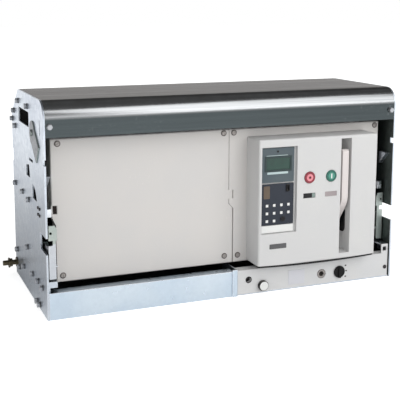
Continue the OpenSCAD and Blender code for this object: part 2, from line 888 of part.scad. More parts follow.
// Small angles under the rails' front ends, the left one with a front flange
module rail_brackets() {
  x = [-in_x, -in_x + rail_bracket_w];
  y0 = 2 * beam_t;
  y = [y0, y0 + rail_bracket_d];
  z1 = beam_h + ear_h;
  color(zinc) {
    on_both() {
      slab(x, y, [z1 - plate_t, z1]);
      slab([-in_x, -in_x + plate_t], y, [beam_h, z1]);
    }
    slab(x, [y0, y0 + plate_t], [z1 - rail_bracket_lip, z1]);
  }
}

// Moulded rear wall with a slot for each terminal and a sunk panel in each bay
module rear_base() {
  z0 = lower_z + bar_t / 2 + rear_pocket_in;
  z1 = upper_z - bar_t / 2 - rear_pocket_in;
  color("#3a2f2c") difference() {
    sheet_x([-in_x, in_x]) polygon([[rear_front, base_t], [rear_back, base_t],
      [rear_back, rear_cut_z(rear_back) - rear_top_gap],
      [rear_front, rear_cut_z(rear_front) - rear_top_gap]]);
    for (x = pole_x) {
      for (z = [lower_z, upper_z])
        slab([x - bar_w / 2, x + bar_w / 2], [rear_front - over, rear_back + over],
          [z - bar_t / 2, z + bar_t / 2]);
      slab([x - pole_pitch / 2 + rear_pocket_in, x + pole_pitch / 2 - rear_pocket_in],
        [rear_back - rear_pocket, rear_back + over], [z0, z1]);
    }
  }
}

// Upright walls between the bays on the rear base
module terminal_barriers() {
  color("#3a2f2c") for (x = bay_x)
    slab([x - barrier_t / 2, x + barrier_t / 2], [rear_back, rear_back + barrier_d],
      [lower_z - bar_t / 2 - barrier_over, upper_z + bar_t / 2 + barrier_over]);
}

// Copper bars through the rear base, one for each bay
module terminals(z) {
  y1 = rear_back + bar_out;
  color(copper) for (x = pole_x) difference() {
    slab([x - bar_w / 2, x + bar_w / 2], [rear_front - stab_l, y1], [z - bar_t / 2, z + bar_t / 2]);
    for (s = [-1, 1])
      rod_z(x + s * bar_hole_span / 2, y1 - bar_hole_in,
        [z - bar_t / 2 - over, z + bar_t / 2 + over], bar_hole_r);
  }
}

module upper_terminals() {
  terminals(upper_z);
}

module lower_terminals() {
  terminals(lower_z);
}

// Stud with two washers and a nut, standing out of the left side plate
module earth_stud() {
  x0 = -in_x - plate_t;
  x1 = x0 - stud_l + stud_free;
  y = cradle_d - stud_in;
  color("#a08a5a") {
    rod_x([x0 - stud_l, x0], y, stud_z, stud_r);
    rod_x([x0 - washer_t, x0], y, stud_z, stud_r * 2);
    rod_x([x1, x1 + washer_t], y, stud_z, stud_r * 2);
    translate([x1 + washer_t, front + y, stud_z]) rotate([0, 90, 0])
      cylinder(r = stud_r * 1.7, h = stud_r, $fn = 6);
  }
}

// Angle from plate to plate under the hood
module secondary_rail() {
  color("#a9aeb4") {
    slab([-in_x, in_x], [sec_y, sec_y + sec_d], [sec_z, sec_z + plate_t]);
    slab([-in_x, in_x], [sec_y, sec_y + plate_t], [sec_z, sec_z + lip_tab_h]);
  }
}

// Stepped terminal blocks in a row on the angle
module secondary_terminals() {
  z0 = sec_z + plate_t;
  y1 = sec_y + sec_d;
  color(black) for (i = [0:sec_n - 1]) {
    x = (i - (sec_n - 1) / 2) * (sec_l + sec_gap);
    difference() {
      slab([x - sec_l / 2, x + sec_l / 2], [sec_y + plate_t, y1], [z0, z0 + sec_h]);
      slab([x - sec_l / 2 - over, x + sec_l / 2 + over], [y1 - sec_step_d, y1 + over],
        [z0 + sec_h - sec_step_h, z0 + sec_h + over]);
    }
  }
}

// Flat links on the outside of the side plates, with their pivot heads
module side_links() {
  x1 = -in_x - plate_t;
  z = lip_z - link_down;
  color("#a3a6ab") on_both() {
    sheet_x([x1 - link_t, x1]) translate([link_y, z]) {
      circle(link_eye_r);
      rotate(180 + link_slope) translate([0, -link_w / 2]) square([link_l, link_w]);
    }
    rod_x([x1 - 2 * link_t, x1], link_y, z, link_pin_r);
  }
}

// Rail with a pull flange, a latch tab over a finger gap, and the ledge that carries the truck
module rail(start) {
  web_x = [-rail_x, -rail_x + rail_t];
  outer_x = -in_x + guide_t;
  pull_x = -cut_x - pull_side;
  latch_x = -cut_x - latch_side;
  y0 = [start, start + rail_t];
  y1 = [start, rail_end];
  color("#e6e9ec") {
    slab(web_x, y1, [rail_z, rail_top]);
    slab([web_x[0], -ledge_x], [start + rail_t, rail_end], [ledge_top - rail_t, ledge_top]);
    slab([outer_x, pull_x], y0, [rail_z, pull_top]);
    slab([pull_x - latch_neck, pull_x], y0, [rail_z, latch_top - latch_over]);
    difference() {
      sheet_y(y0) polygon([[outer_x, latch_z], [latch_x, latch_z], [latch_x, cut_z],
        [latch_x - corner_cut_w * latch_over / corner_slope, latch_top], [outer_x, latch_top]]);
      rod_y((outer_x + pull_x - latch_neck) / 2, [start - over, start + rail_t + over],
        (latch_z + latch_top) / 2, latch_hole_r);
    }
  }
}

module left_rail() {
  rail(rail_front);
}

module right_rail() {
  on_right() rail(rail_front + rail_set_back);
}

module breaker_case() {
  color("#2b2c2f") slab([-case_x, case_x], [case_y, case_back], [truck_z, case_top]);
}

// Box over the front of the case that holds the operating mechanism
module mechanism_box() {
  color("#2b2c2f")
    slab([-case_x, case_x], [case_y, case_y + mech_d], [case_top, truck_top - mech_top_gap]);
}

// Upright walls between the poles on the case's back
module pole_barriers() {
  color("#2b2c2f") for (x = bay_x)
    slab([x - rib_t / 2, x + rib_t / 2], [case_back, case_back + rib_d], [truck_z, case_top]);
}

// Steel cheek with two lugs that stand on the rail, and the lock bar beside the cover
module left_cheek() {
  lug_x = ledge_x + lug_bearing;
  bar_x = [-in_x + lock_side, -cover_x - lock_inner];
  bar_z = [lock_bar_z, lock_bar_z + lock_h];
  color(zinc) {
    slab([-cheek_x, -case_x], [case_y, case_back], [truck_z, truck_top - cheek_drop]);
    for (y = [lug_y, case_back - lug_rear - lug_l])
      slab([-lug_x, -case_x], [y, y + lug_l], [lug_z, lug_top]);
    slab(bar_x, [cover_recess - lock_out, case_y + lug_l], bar_z);
    slab([bar_x[0], -case_x], [case_y, case_y + lug_l], bar_z);
  }
}

module right_cheek() {
  on_right() left_cheek();
}

// Arc chutes on the pole body, with vent slots in their tops
module arc_chutes() {
  y0 = case_y + mech_d + chute_gap;
  w = pole_pitch - chute_space;
  z1 = case_top + chute_h;
  color("#5b5148") for (x = pole_x) difference() {
    slab([x - w / 2, x + w / 2], [y0, case_back], [case_top, z1]);
    for (i = [0:chute_slots - 1]) {
      slot_mid = x - w / 2 + (i + 0.5) * w / chute_slots;
      slab([slot_mid - chute_slot_w / 2, slot_mid + chute_slot_w / 2],
        [y0 + chute_rim, case_back - chute_rim], [z1 - chute_slot_d, z1 + over]);
    }
  }
}

// Pairs of fingered jaws that grip the terminal bars
module contacts(z) {
  gap = bar_t / 2 + jaw_gap;
  w = bar_w - 2 * jaw_side;
  y1 = rear_front - jaw_end_gap;
  color(copper) for (x = pole_x, z0 = [z + gap, z - gap - jaw_t]) difference() {
    slab([x - w / 2, x + w / 2], [case_back, y1], [z0, z0 + jaw_t]);
    for (i = [1:finger_n - 1]) {
      slot_mid = x - w / 2 + i * w / finger_n;
      slab([slot_mid - finger_gap / 2, slot_mid + finger_gap / 2], [y1 - finger_l, y1 + over],
        [z0 - over, z0 + jaw_t + over]);
    }
  }
}

module upper_contacts() {
  contacts(upper_z);
}

module lower_contacts() {
  contacts(lower_z);
}

// Line of the seam from the top down, moved sideways by dx
function seam_line(dx) = let (z1 = truck_z + seam_up, x = seam_x + dx) [
  [x, truck_top], [x, z1 + seam_tab_h], [x + seam_tab, z1 + seam_tab_h], [x + seam_tab, z1],
  [x, z1], [x, z1 - seam_tab], [x + seam_tab, z1 - 2 * seam_tab], [x + seam_tab, truck_z]];

// Outline of a cover with its cut lower corner, on the side s of the seam
module cover_outline(line, s) {
  polygon(concat([[s * cover_x, truck_top]], line,
    [[s * cut_x, truck_z], [s * cut_x, cut_z], [s * cover_x, cut_z + corner_slope]]));
}

// Square hole at the cover's edge beside the lock bar
module lock_hole(s) {
  x = s * (cover_x - lock_hole_w / 2);
  z = lock_bar_z + lock_h / 2 + lock_hole_rise;
  slab([x - lock_hole_w / 2 - over, x + lock_hole_w / 2 + over],
    [cover_recess - over, cover_recess + cover_t + over],
    [z - lock_hole_h / 2, z + lock_hole_h / 2]);
}

// Plain pan on the left
module blank_cover() {
  color(beige) difference() {
    intersection() {
      sheet_y([cover_recess, case_y]) cover_outline(seam_line(0), -1);
      soft_front([-cover_x, seam_x + seam_tab], [cover_recess, case_y], [truck_z, truck_top],
        cover_round);
    }
    slab([-cut_x + cover_t, seam_x - cover_t], [cover_recess + cover_t, case_y + over],
      [truck_z + cover_t, truck_top - cover_t]);
    lock_hole(-1);
  }
}

// Pan on the right that carries the operator face, open behind the handle's hub
module front_cover() {
  color(beige) difference() {
    intersection() {
      sheet_y([cover_recess, case_y]) cover_outline(seam_line(seam_gap), 1);
      soft_front([seam_x + seam_gap, cover_x], [cover_recess, case_y], [truck_z, truck_top],
        cover_round);
    }
    slab([seam_x + seam_gap + seam_tab + cover_t, cut_x - cover_t],
      [cover_recess + cover_t, case_y + over], [truck_z + cover_t, truck_top - cover_t]);
    slab([slot_x, slot_x + slot_w], [cover_recess - over, cover_recess + cover_t + over], well_z);
    lock_hole(1);
  }
}

// Raised housing with the trip unit's pocket, button holes, sights and handle slot
module face_housing() {
  bow_r = face_w * face_w / (8 * face_bow) + face_bow / 2;
  x = [face_x, face_x + face_w];
  z = [truck_z, face_top];
  color(pale_grey) difference() {
    intersection() {
      sheet_y([face_y, cover_recess]) round_rect(x, z, face_r);
      soft_front(x, [face_y, cover_recess], z, face_round);
      rod_y(face_x + face_w / 2, [face_y, cover_recess], truck_z + bow_r, bow_r, $fn = 720);
    }
    slab([unit_x, unit_x + unit_w], [face_y - over, pocket_y], [unit_z, unit_z + unit_h]);
    slab([slot_x, slot_x + slot_w], [face_y - over, face_y + slot_depth], [slot_z, slot_end_z]);
    slab([slot_x, slot_x + slot_w], [face_y - over, cover_recess + over], well_z);
    for (bx = [off_x, on_x]) {
      rod_y(bx, [face_y - over, face_y + button_hole], button_z, button_r + button_gap);
      slab([bx - sight_w / 2, bx + sight_w / 2], [face_y - over, face_y + sight_d],
        [sight_z, sight_z + sight_h]);
    }
  }
}

module display_module() {
  y0 = pocket_y - module_t;
  color("#5c5f66") difference() {
    slab([module_x, module_x + module_w], [y0, pocket_y], [display_z, display_z + display_h]);
    slab([screen_x, screen_x + screen_w], [y0 - over, y0 + screen_in],
      [screen_z, screen_z + screen_h]);
  }
}

// Pane set into the display module, a little below its front
module screen() {
  y1 = pocket_y - module_t + screen_in;
  color("#22403a") slab([screen_x, screen_x + screen_w], [y1 - screen_t, y1],
    [screen_z, screen_z + screen_h]);
}

module keypad() {
  color("#34374a") slab([module_x, module_x + module_w], [pocket_y - module_t, pocket_y],
    [keypad_z, keypad_z + keypad_h]);
}

// Two full rows of keys over a short one
module keys() {
  y1 = pocket_y - module_t;
  color("white") for (row = [0:2], col = [0:(row == 0 ? 1 : 3)]) {
    x = module_x + module_w / 2 + (col - 1.5) * key_pitch;
    z = keypad_z + key_up + row * key_pitch;
    slab([x - key_w / 2, x + key_w / 2], [y1 - key_t, y1], [z - key_w / 2, z + key_w / 2]);
  }
}

module setting_strip() {
  color("white") slab([module_x, module_x + module_w], [pocket_y - module_t, pocket_y],
    [strip_z, strip_z + strip_h]);
}

// Flag at the back of the indicator window under a button
module flag(x) {
  y1 = face_y + sight_d;
  slab([x - sight_w / 2, x + sight_w / 2], [y1 - flag_t, y1], [sight_z, sight_z + sight_h]);
}

module state_flag() {
  color(black) flag(off_x);
}

module charge_flag() {
  color("#b5afa6") flag(on_x);
}

module handle_pin() {
  color("#9aa0a6") rod_x([slot_x, slot_x + slot_w], pivot_y, pivot_z, pin_r);
}

// Places along the handle's neck: its middle swings from the hub out to the grip
function neck_mid(t) = pivot_y + (grip_y + grip_t / 2 - pivot_y) * t * t * (3 - 2 * t);
function neck_half(t) = hub_r + (grip_t / 2 - hub_r) * t;
function neck_side(s, steps) =
  [for (i = [0:steps]) let (t = i / steps) [neck_mid(t) + s * neck_half(t), pivot_z + neck_l * t]];

// Lever with a straight grip and a neck that curves inwards to its hub
module charging_handle() {
  x = [slot_x + handle_gap, slot_x + slot_w - handle_gap];
  back = neck_side(1, 8);
  face = neck_side(-1, 8);
  color("#d9cfc8") difference() {
    union() {
      sheet_x(x) polygon(concat(back, [[grip_y + grip_t, grip_top],
        [grip_y + grip_round, grip_top], [grip_y, grip_top - grip_round]],
        [for (i = [len(face) - 1:-1:0]) face[i]]));
      rod_x(x, pivot_y, pivot_z, hub_r);
    }
    rod_x([x[0] - over, x[1] + over], pivot_y, pivot_z, pin_r + pin_run);
  }
}

// Push button with a rim round a dished front
module button(x) {
  inner = button_r - button_rim;
  turned(x, face_y - button_proud, button_z) polygon([[0, button_dish], [inner, button_dish],
    [inner + button_dish, 0], [button_r - button_dish, 0], [button_r, button_dish],
    [button_r, button_l], [0, button_l]]);
}

module off_button() {
  color("#c03a40") button(off_x);
}

module on_button() {
  color("#1f8f6e") button(on_x);
}

left_side_plate();
right_side_plate();
top_hood();
base_plate();
front_beam();
beam_bracket();
racking_panel();
crank_socket();
position_dial();
release_knob();
left_rail_guide();
right_rail_guide();
rail_brackets();
rear_base();
terminal_barriers();
upper_terminals();
lower_terminals();
earth_stud();
secondary_rail();
secondary_terminals();
side_links();
left_rail();
right_rail();
breaker_case();
mechanism_box();
pole_barriers();
left_cheek();
right_cheek();
arc_chutes();
upper_contacts();
lower_contacts();
blank_cover();
front_cover();
face_housing();
display_module();
screen();
keypad();
keys();
setting_strip();
state_flag();
charge_flag();
handle_pin();
charging_handle();
off_button();
on_button();
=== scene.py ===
"""Looks of a draw-out air circuit breaker in its cradle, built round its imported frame.

Everything is in metres in the frame's own axes. Lists of places and the sizes of small pieces are
in millimetres: X from the middle, depth from the side plates' front edge, height from the underside.
"""
import json
from math import asin, pi, radians, sqrt

import bpy
from mathutils import Matrix, Vector

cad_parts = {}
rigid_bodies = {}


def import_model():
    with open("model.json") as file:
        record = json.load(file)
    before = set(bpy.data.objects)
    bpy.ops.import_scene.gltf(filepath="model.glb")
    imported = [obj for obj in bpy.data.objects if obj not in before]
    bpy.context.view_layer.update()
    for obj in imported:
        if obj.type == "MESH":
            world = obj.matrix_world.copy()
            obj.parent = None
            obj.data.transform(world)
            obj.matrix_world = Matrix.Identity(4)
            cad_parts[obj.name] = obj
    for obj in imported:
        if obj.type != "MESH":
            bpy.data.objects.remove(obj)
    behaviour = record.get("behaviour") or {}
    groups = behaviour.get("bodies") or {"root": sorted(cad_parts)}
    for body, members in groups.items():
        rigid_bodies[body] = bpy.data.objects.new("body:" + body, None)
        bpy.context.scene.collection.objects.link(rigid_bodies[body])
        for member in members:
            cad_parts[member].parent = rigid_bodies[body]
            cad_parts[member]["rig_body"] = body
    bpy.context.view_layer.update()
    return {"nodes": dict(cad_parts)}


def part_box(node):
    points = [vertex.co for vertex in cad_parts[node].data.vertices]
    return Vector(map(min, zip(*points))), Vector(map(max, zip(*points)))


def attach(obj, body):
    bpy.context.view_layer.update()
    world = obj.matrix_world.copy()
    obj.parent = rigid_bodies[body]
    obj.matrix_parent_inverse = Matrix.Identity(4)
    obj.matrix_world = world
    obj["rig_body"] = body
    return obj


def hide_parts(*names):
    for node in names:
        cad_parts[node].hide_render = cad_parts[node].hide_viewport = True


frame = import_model()

MM = 0.001
FORWARDS = (0, -1, 0)
# Least part of a normal along an axis in a face that looks that way
ALIGNED = 0.9

# Planes of the object that pieces stand on
PLATE_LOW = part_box("left_side_plate")[0]
FRONT = PLATE_LOW.y
OUTER_X = -PLATE_LOW.x
HOOD_LOW, HOOD_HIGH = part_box("top_hood")
HOOD_ROLL = 38 * MM
COVER_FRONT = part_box("blank_cover")[0].y
FACE_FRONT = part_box("face_housing")[0].y
PANEL_FRONT = FRONT + 3 * MM
STEP_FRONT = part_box("racking_panel")[0].y


# Modelling helpers

MERGE_WITHIN = 1e-6
FLAT_ANGLE = radians(0.5)
EDGE_ANGLE = radians(32)
SMOOTH_ANGLE = radians(45)
SCREW_SMOOTH_ANGLE = radians(40)


def object_mode():
    """Leaves edit mode, if the last step was made in it."""
    if bpy.context.mode != "OBJECT":
        bpy.ops.object.mode_set(mode="OBJECT")


def deselect():
    """Leaves edit mode and deselects every object."""
    object_mode()
    bpy.ops.object.select_all(action="DESELECT")


def take(piece):
    """Makes a piece the only selected one, and the active one."""
    deselect()
    piece.select_set(True)
    bpy.context.view_layer.objects.active = piece
    return piece


def settle():
    """Puts the active piece's place and size into its mesh."""
    bpy.ops.object.transform_apply(location=True, rotation=True, scale=True)
    return bpy.context.active_object


def block(low, high):
    """A box between two corners, to be shaped further."""
    deselect()
    low, high = Vector(low), Vector(high)
    bpy.ops.mesh.primitive_cube_add(size=1, location=(low + high) / 2)
    bpy.context.active_object.scale = high - low
    return settle()


def round_bar(radius, length, sides=32):
    """An upright round bar that stands on the origin, to be shaped further."""
    deselect()
    bpy.ops.mesh.primitive_cylinder_add(vertices=sides, radius=radius, depth=length,
                                        location=(0, 0, length / 2))
    return settle()


def edit_whole(piece):
    """Goes to edit mode with the whole piece selected."""
    take(piece)
    bpy.ops.object.mode_set(mode="EDIT")
    bpy.ops.mesh.select_all(action="SELECT")


def start_picking(piece, kind):
    """Clears a piece's selection, so that its faces or edges can be picked in code."""
    take(piece)
    bpy.ops.object.mode_set(mode="EDIT")
    bpy.ops.mesh.select_mode(type=kind)
    bpy.ops.mesh.select_all(action="DESELECT")
    bpy.ops.object.mode_set(mode="OBJECT")


def pick_faces(piece, test):
    """Goes to edit mode with the faces selected whose centre and normal pass the test."""
    start_picking(piece, "FACE")
    for face in piece.data.polygons:
        face.select = test(face.center, face.normal)
    bpy.ops.object.mode_set(mode="EDIT")


def pick_edges(piece, test):
    """Goes to edit mode with the edges selected whose two ends pass the test."""
    start_picking(piece, "EDGE")
    for edge in piece.data.edges:
        edge.select = test(*(piece.data.vertices[index].co for index in edge.vertices))
    bpy.ops.object.mode_set(mode="EDIT")


def faces_up(centre, normal):
    """Picks the faces that look upwards."""
    return normal.z > ALIGNED


def faces_front(centre, normal):
    """Picks the faces that look to the front."""
    return normal.y < -ALIGNED


def sink(piece, test, margin, depth, scale=(1, 1, 1)):
    """Insets the picked faces, resizes them and moves them along their normal, depth inwards."""
    pick_faces(piece, test)
    bpy.ops.mesh.inset(thickness=margin)
    bpy.ops.transform.resize(value=scale)
    bpy.ops.mesh.extrude_region_shrink_fatten(TRANSFORM_OT_shrink_fatten={"value": -depth})
    object_mode()


def round_edges(piece, width, segments=2, edge_slot=-1):
    """Rounds the sharp edges, and keeps the flat faces flat in the shading."""
    take(piece)
    bevel = piece.modifiers.new("rounding", "BEVEL")
    bevel.width = width
    bevel.segments = segments
    bevel.limit_method = "ANGLE"
    bevel.angle_limit = EDGE_ANGLE
    bevel.material = edge_slot
    bpy.ops.object.modifier_apply(modifier=bevel.name)
    bpy.ops.object.shade_smooth_by_angle(angle=SMOOTH_ANGLE)
    weighted = piece.modifiers.new("flat_faces", "WEIGHTED_NORMAL")
    weighted.keep_sharp = True
    bpy.ops.object.modifier_apply(modifier=weighted.name)
    return piece


def finish_piece(piece, name, body, finish=None):
    """Names a piece, makes it ride on a body and gives it a finish, unless it brings its own."""
    piece.name = name
    piece.data.name = name
    if finish:
        piece.data.materials.append(FINISH[finish])
    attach(piece, body)
    return piece


def copies(model, matrices):
    """One mesh of copies of a model at the given places. The model itself is removed."""
    made = []
    for matrix in matrices:
        copy = bpy.data.objects.new(model.name, model.data.copy())
        bpy.context.scene.collection.objects.link(copy)
        copy.data.transform(matrix)
        made.append(copy)
    joined = fuse(*made)
    bpy.data.objects.remove(model)
    return joined


def fuse(first, *others):
    """Joins pieces into the first one's mesh."""
    take(first)
    for piece in others:
        piece.select_set(True)
    bpy.ops.object.join()
    return first


def facing(direction, place, turn=0):
    """Matrix that stands an upright model on a place, its top pointing along a direction."""
    aim = Vector(direction).to_track_quat("Z", "Y").to_matrix().to_4x4()
    return Matrix.Translation(place) @ aim @ Matrix.Rotation(turn, 4, "Z")


def stand(model, place, turn=0):
    """Stands one model on a place that faces the front."""
    return copies(model, [facing(FORWARDS, place, turn)])


def on_plate(side, depth, height):
    """A place on the outer face of the left (-1) or right (1) side plate."""
    return Vector((side * OUTER_X, FRONT + depth * MM, height * MM))


def on_front(front, x, z):
    """A place on a plane that faces the front."""
    return Vector((x * MM, front, z * MM))


def plate_on(front, x, z, thick, rounding, corner=0.0):
    """Thin plate that stands on a surface facing the front, with rounded corners and rim."""
    piece = block((x[0] * MM, front - thick * MM, z[0] * MM), (x[1] * MM, front, z[1] * MM))
    if corner:
        pick_edges(piece, lambda start, end: abs(start.y - end.y) > thick * MM / 2)
        bpy.ops.mesh.bevel(offset=corner * MM, segments=4)
        object_mode()
    return round_edges(piece, rounding * MM)


# Shader building

def feed(tree, socket, value):
    """Links another node's output to a socket, or sets the socket to a plain value."""
    if isinstance(value, bpy.types.NodeSocket):
        tree.links.new(value, socket)
    else:
        socket.default_value = value


def wire(tree, node, **inputs):
    """Feeds a node's inputs by their names, with _ for a space."""
    for name, value in inputs.items():
        feed(tree, node.inputs[name.replace("_", " ")], value)
    return node


def put(tree, kind, settings=None, **inputs):
    """Adds a node, sets its properties and feeds its inputs."""
    node = tree.nodes.new(kind)
    for name, value in (settings or {}).items():
        setattr(node, name, value)
    return wire(tree, node, **inputs)


def mix(tree, factor, first, second):
    """Mixes two colours."""
    node = put(tree, "ShaderNodeMix", {"data_type": "RGBA"})
    for index, value in ((0, factor), (6, first), (7, second)):
        feed(tree, node.inputs[index], value)
    return node.outputs[2]


def calc(tree, operation, first, second=0.0):
    """One step of arithmetic."""
    node = put(tree, "ShaderNodeMath", {"operation": operation})
    feed(tree, node.inputs[0], first)
    feed(tree, node.inputs[1], second)
    return node.outputs[0]


def stretch(tree, vector, factors):
    """Scales a vector's coordinates, each by its own factor."""
    node = put(tree, "ShaderNodeVectorMath", {"operation": "MULTIPLY"})
    feed(tree, node.inputs[0], vector)
    feed(tree, node.inputs[1], factors)
    return node.outputs[0]


def coordinate(tree, vector, index):
    """One coordinate of a vector."""
    return put(tree, "ShaderNodeSeparateXYZ", Vector=vector).outputs[index]


def fade(tree, value, low, high, to_low=0.0, to_high=1.0):
    """Maps a value between two limits smoothly onto two others."""
    node = put(tree, "ShaderNodeMapRange", {"interpolation_type": "SMOOTHSTEP"}, Value=value,
               From_Min=low, From_Max=high, To_Min=to_low, To_Max=to_high)
    return node.outputs[0]


def noise(tree, vector, scale, detail=3.0, roughness=0.5):
    """Cloudy noise, 0 to 1."""
    return put(tree, "ShaderNodeTexNoise", Vector=vector, Scale=scale, Detail=detail,
               Roughness=roughness).outputs[0]


def new_group(name, inputs, outputs):
    """An empty shader group with its sockets: returns its tree, its inputs and its outputs."""
    tree = bpy.data.node_groups.new(name, "ShaderNodeTree")
    kinds = {"V": "NodeSocketVector", "F": "NodeSocketFloat", "C": "NodeSocketColor"}
    for label, kind in inputs:
        tree.interface.new_socket(label, in_out="INPUT", socket_type=kinds[kind])
    for label, kind in outputs:
        tree.interface.new_socket(label, in_out="OUTPUT", socket_type=kinds[kind])
    return tree, tree.nodes.new("NodeGroupInput").outputs, tree.nodes.new("NodeGroupOutput").inputs


def tone_drift_group():
    """Slow drift between two colours, as in moulded or plated batches."""
    tree, given, out = new_group("tone_drift", [("Vector", "V"), ("Scale", "F"), ("Colour", "C"),
                                                ("Drift", "C")], [("Colour", "C")])
    cloud = noise(tree, given["Vector"], given["Scale"], 4.0, 0.55)
    feed(tree, out["Colour"], mix(tree, fade(tree, cloud, 0.35, 0.68), given["Colour"], given["Drift"]))
    return tree


def moulded_grain_group():
    """Fine pebble grain of a spark-eroded mould, with its tone and its height."""
    tree, given, out = new_group("moulded_grain", [("Vector", "V"), ("Scale", "F")],
                                 [("Height", "F"), ("Tone", "F")])
    cells = put(tree, "ShaderNodeTexVoronoi", {"feature": "SMOOTH_F1"}, Vector=given["Vector"],
                Scale=given["Scale"]).outputs[0]
    fine = noise(tree, given["Vector"], calc(tree, "MULTIPLY", given["Scale"], 2.1), 2.0)
    feed(tree, out["Height"], calc(tree, "ADD", cells, fine))
    feed(tree, out["Tone"], fine)
    return tree


FLAKE_WARP = (0.006, 0.006, 0.006)


def spangle_group():
    """Crystal flakes of a zinc coat: a random tone for each flake and the flakes' relief."""
    tree, given, out = new_group("spangle", [("Vector", "V"), ("Scale", "F")],
                                 [("Tone", "F"), ("Height", "F")])
    warp = put(tree, "ShaderNodeTexNoise", Vector=given["Vector"],
               Scale=calc(tree, "MULTIPLY", given["Scale"], 0.8)).outputs[1]
    bent = put(tree, "ShaderNodeVectorMath", {"operation": "MULTIPLY_ADD"})
    for index, value in enumerate((warp, FLAKE_WARP, given["Vector"])):
        feed(tree, bent.inputs[index], value)
    flakes = put(tree, "ShaderNodeTexVoronoi", Vector=bent.outputs[0], Scale=given["Scale"]).outputs
    feed(tree, out["Tone"], put(tree, "ShaderNodeRGBToBW", Color=flakes["Color"]).outputs[0])
    feed(tree, out["Height"], flakes["Distance"])
    return tree


def brushing_group():
    """Fine parallel lines along the axis that the stretch makes long."""
    tree, given, out = new_group("brushing", [("Vector", "V"), ("Stretch", "V")],
                                 [("Height", "F"), ("Tone", "F")])
    drawn = stretch(tree, given["Vector"], given["Stretch"])
    feed(tree, out["Height"], noise(tree, drawn, 1.0, 2.0, 0.6))
    feed(tree, out["Tone"], noise(tree, drawn, 0.31, 4.0, 0.7))
    return tree


SCRATCHES = ((90, 900, 1100), (850, 700, 110))


def scuffs_group():
    """Mask of sparse handling marks: short scratches in two directions inside faint patches."""
    tree, given, out = new_group("scuffs", [("Vector", "V"), ("Amount", "F")], [("Mask", "F")])
    strokes = []
    for factors in SCRATCHES:
        drawn = stretch(tree, given["Vector"], factors)
        strokes.append(fade(tree, noise(tree, drawn, 1.0, 1.0), 0.70, 0.76))
    patches = fade(tree, noise(tree, given["Vector"], 9.0, 2.0), 0.52, 0.68)
    marks = calc(tree, "MULTIPLY", calc(tree, "MAXIMUM", *strokes), patches)
    feed(tree, out["Mask"], calc(tree, "MULTIPLY", marks, given["Amount"]))
    return tree


def settled_dust_group():
    """Thin dust on what faces up."""
    tree, given, out = new_group("settled_dust", [("Vector", "V"), ("Colour", "C"), ("Dust", "C"),
                                                  ("Amount", "F")], [("Colour", "C")])
    up = coordinate(tree, tree.nodes.new("ShaderNodeNewGeometry").outputs["Normal"], 2)
    cover = calc(tree, "MULTIPLY", fade(tree, up, 0.4, 1.0),
                 fade(tree, noise(tree, given["Vector"], 40.0, 4.0), 0.3, 0.75))
    share = calc(tree, "MULTIPLY", cover, given["Amount"])
    feed(tree, out["Colour"], mix(tree, share, given["Colour"], given["Dust"]))
    return tree


GROUPS = {"tone_drift": tone_drift_group(), "moulded_grain": moulded_grain_group(),
          "spangle": spangle_group(), "brushing": brushing_group(), "scuffs": scuffs_group(),
          "settled_dust": settled_dust_group()}


def effect(tree, name, **inputs):
    """Places a shared effect in a material with its own values."""
    return put(tree, "ShaderNodeGroup", {"node_tree": GROUPS[name]}, **inputs).outputs


# Finishes

FINISH = {}


def new_finish(name):
    """A material kept in FINISH under its name: returns its tree, shader and coordinates."""
    finish = bpy.data.materials.new(name)
    finish.use_nodes = True
    FINISH[name] = finish
    tree = finish.node_tree
    place = tree.nodes.new("ShaderNodeTexCoord").outputs["Object"]
    return tree, tree.nodes["Principled BSDF"], place


def rgb(red, green, blue):
    """A colour given as it is seen, 0 to 255, in the shader's linear values."""
    def linear(c):
        c = c / 255
        return c / 12.92 if c <= 0.04045 else ((c + 0.055) / 1.055) ** 2.4
    return (linear(red), linear(green), linear(blue), 1.0)


def shade(colour, gain, lift=0.0):
    """A colour made darker or paler."""
    return tuple(min(1.0, c * gain + lift) for c in colour[:3]) + (1.0,)


def bump(tree, shader, height, strength, distance):
    """Relief from a height."""
    node = put(tree, "ShaderNodeBump", Height=height, Strength=strength, Distance=distance)
    wire(tree, shader, Normal=node.outputs[0])


PALE_DUST = rgb(176, 172, 164)
HOOD_DUST = rgb(120, 115, 108)
# Heights below which the plates' painted shade at the foot is full, and above which it is gone
FOOT_SHADE_FROM, FOOT_SHADE_TO = 0.12, 0.40
# Height where the hood's painted lip shade stops, and the rise over which it fades out
LIP_TOP = HOOD_HIGH.z - HOOD_ROLL
LIP_FADE = 8 * MM
LINES_ALONG_PLATE = (14, 14, 900)
LINES_ALONG_X = (3, 260, 260)
LINES_ALONG_DEPTH = (700, 16, 700)


def moulded(name, colour, drift, roughness=0.48, grain=1500.0, relief=0.12, dust=0.25, coat=0.0,
            gloss=0.5):
    """Moulded plastic: slow drift of tone, pebble grain, few scuffs and dust on what faces up."""
    tree, shader, place = new_finish(name)
    base = effect(tree, "tone_drift", Vector=place, Scale=7.0, Colour=colour, Drift=drift)["Colour"]
    pebbles = effect(tree, "moulded_grain", Vector=place, Scale=grain)
    marks = effect(tree, "scuffs", Vector=place, Amount=0.35)["Mask"]
    scuffed = mix(tree, marks, base, shade(colour, 1.25, 0.05))
    dusty = effect(tree, "settled_dust", Vector=place, Colour=scuffed, Dust=PALE_DUST,
                   Amount=dust)["Colour"]
    rough = fade(tree, pebbles["Tone"], 0.2, 0.8, roughness - 0.06, roughness + 0.06)
    rough = calc(tree, "ADD", rough, calc(tree, "MULTIPLY", marks, 0.15))
    wire(tree, shader, Base_Color=dusty, Roughness=rough, Coat_Weight=coat, Specular_IOR_Level=gloss)
    bump(tree, shader, pebbles["Height"], relief, 0.2 * MM)


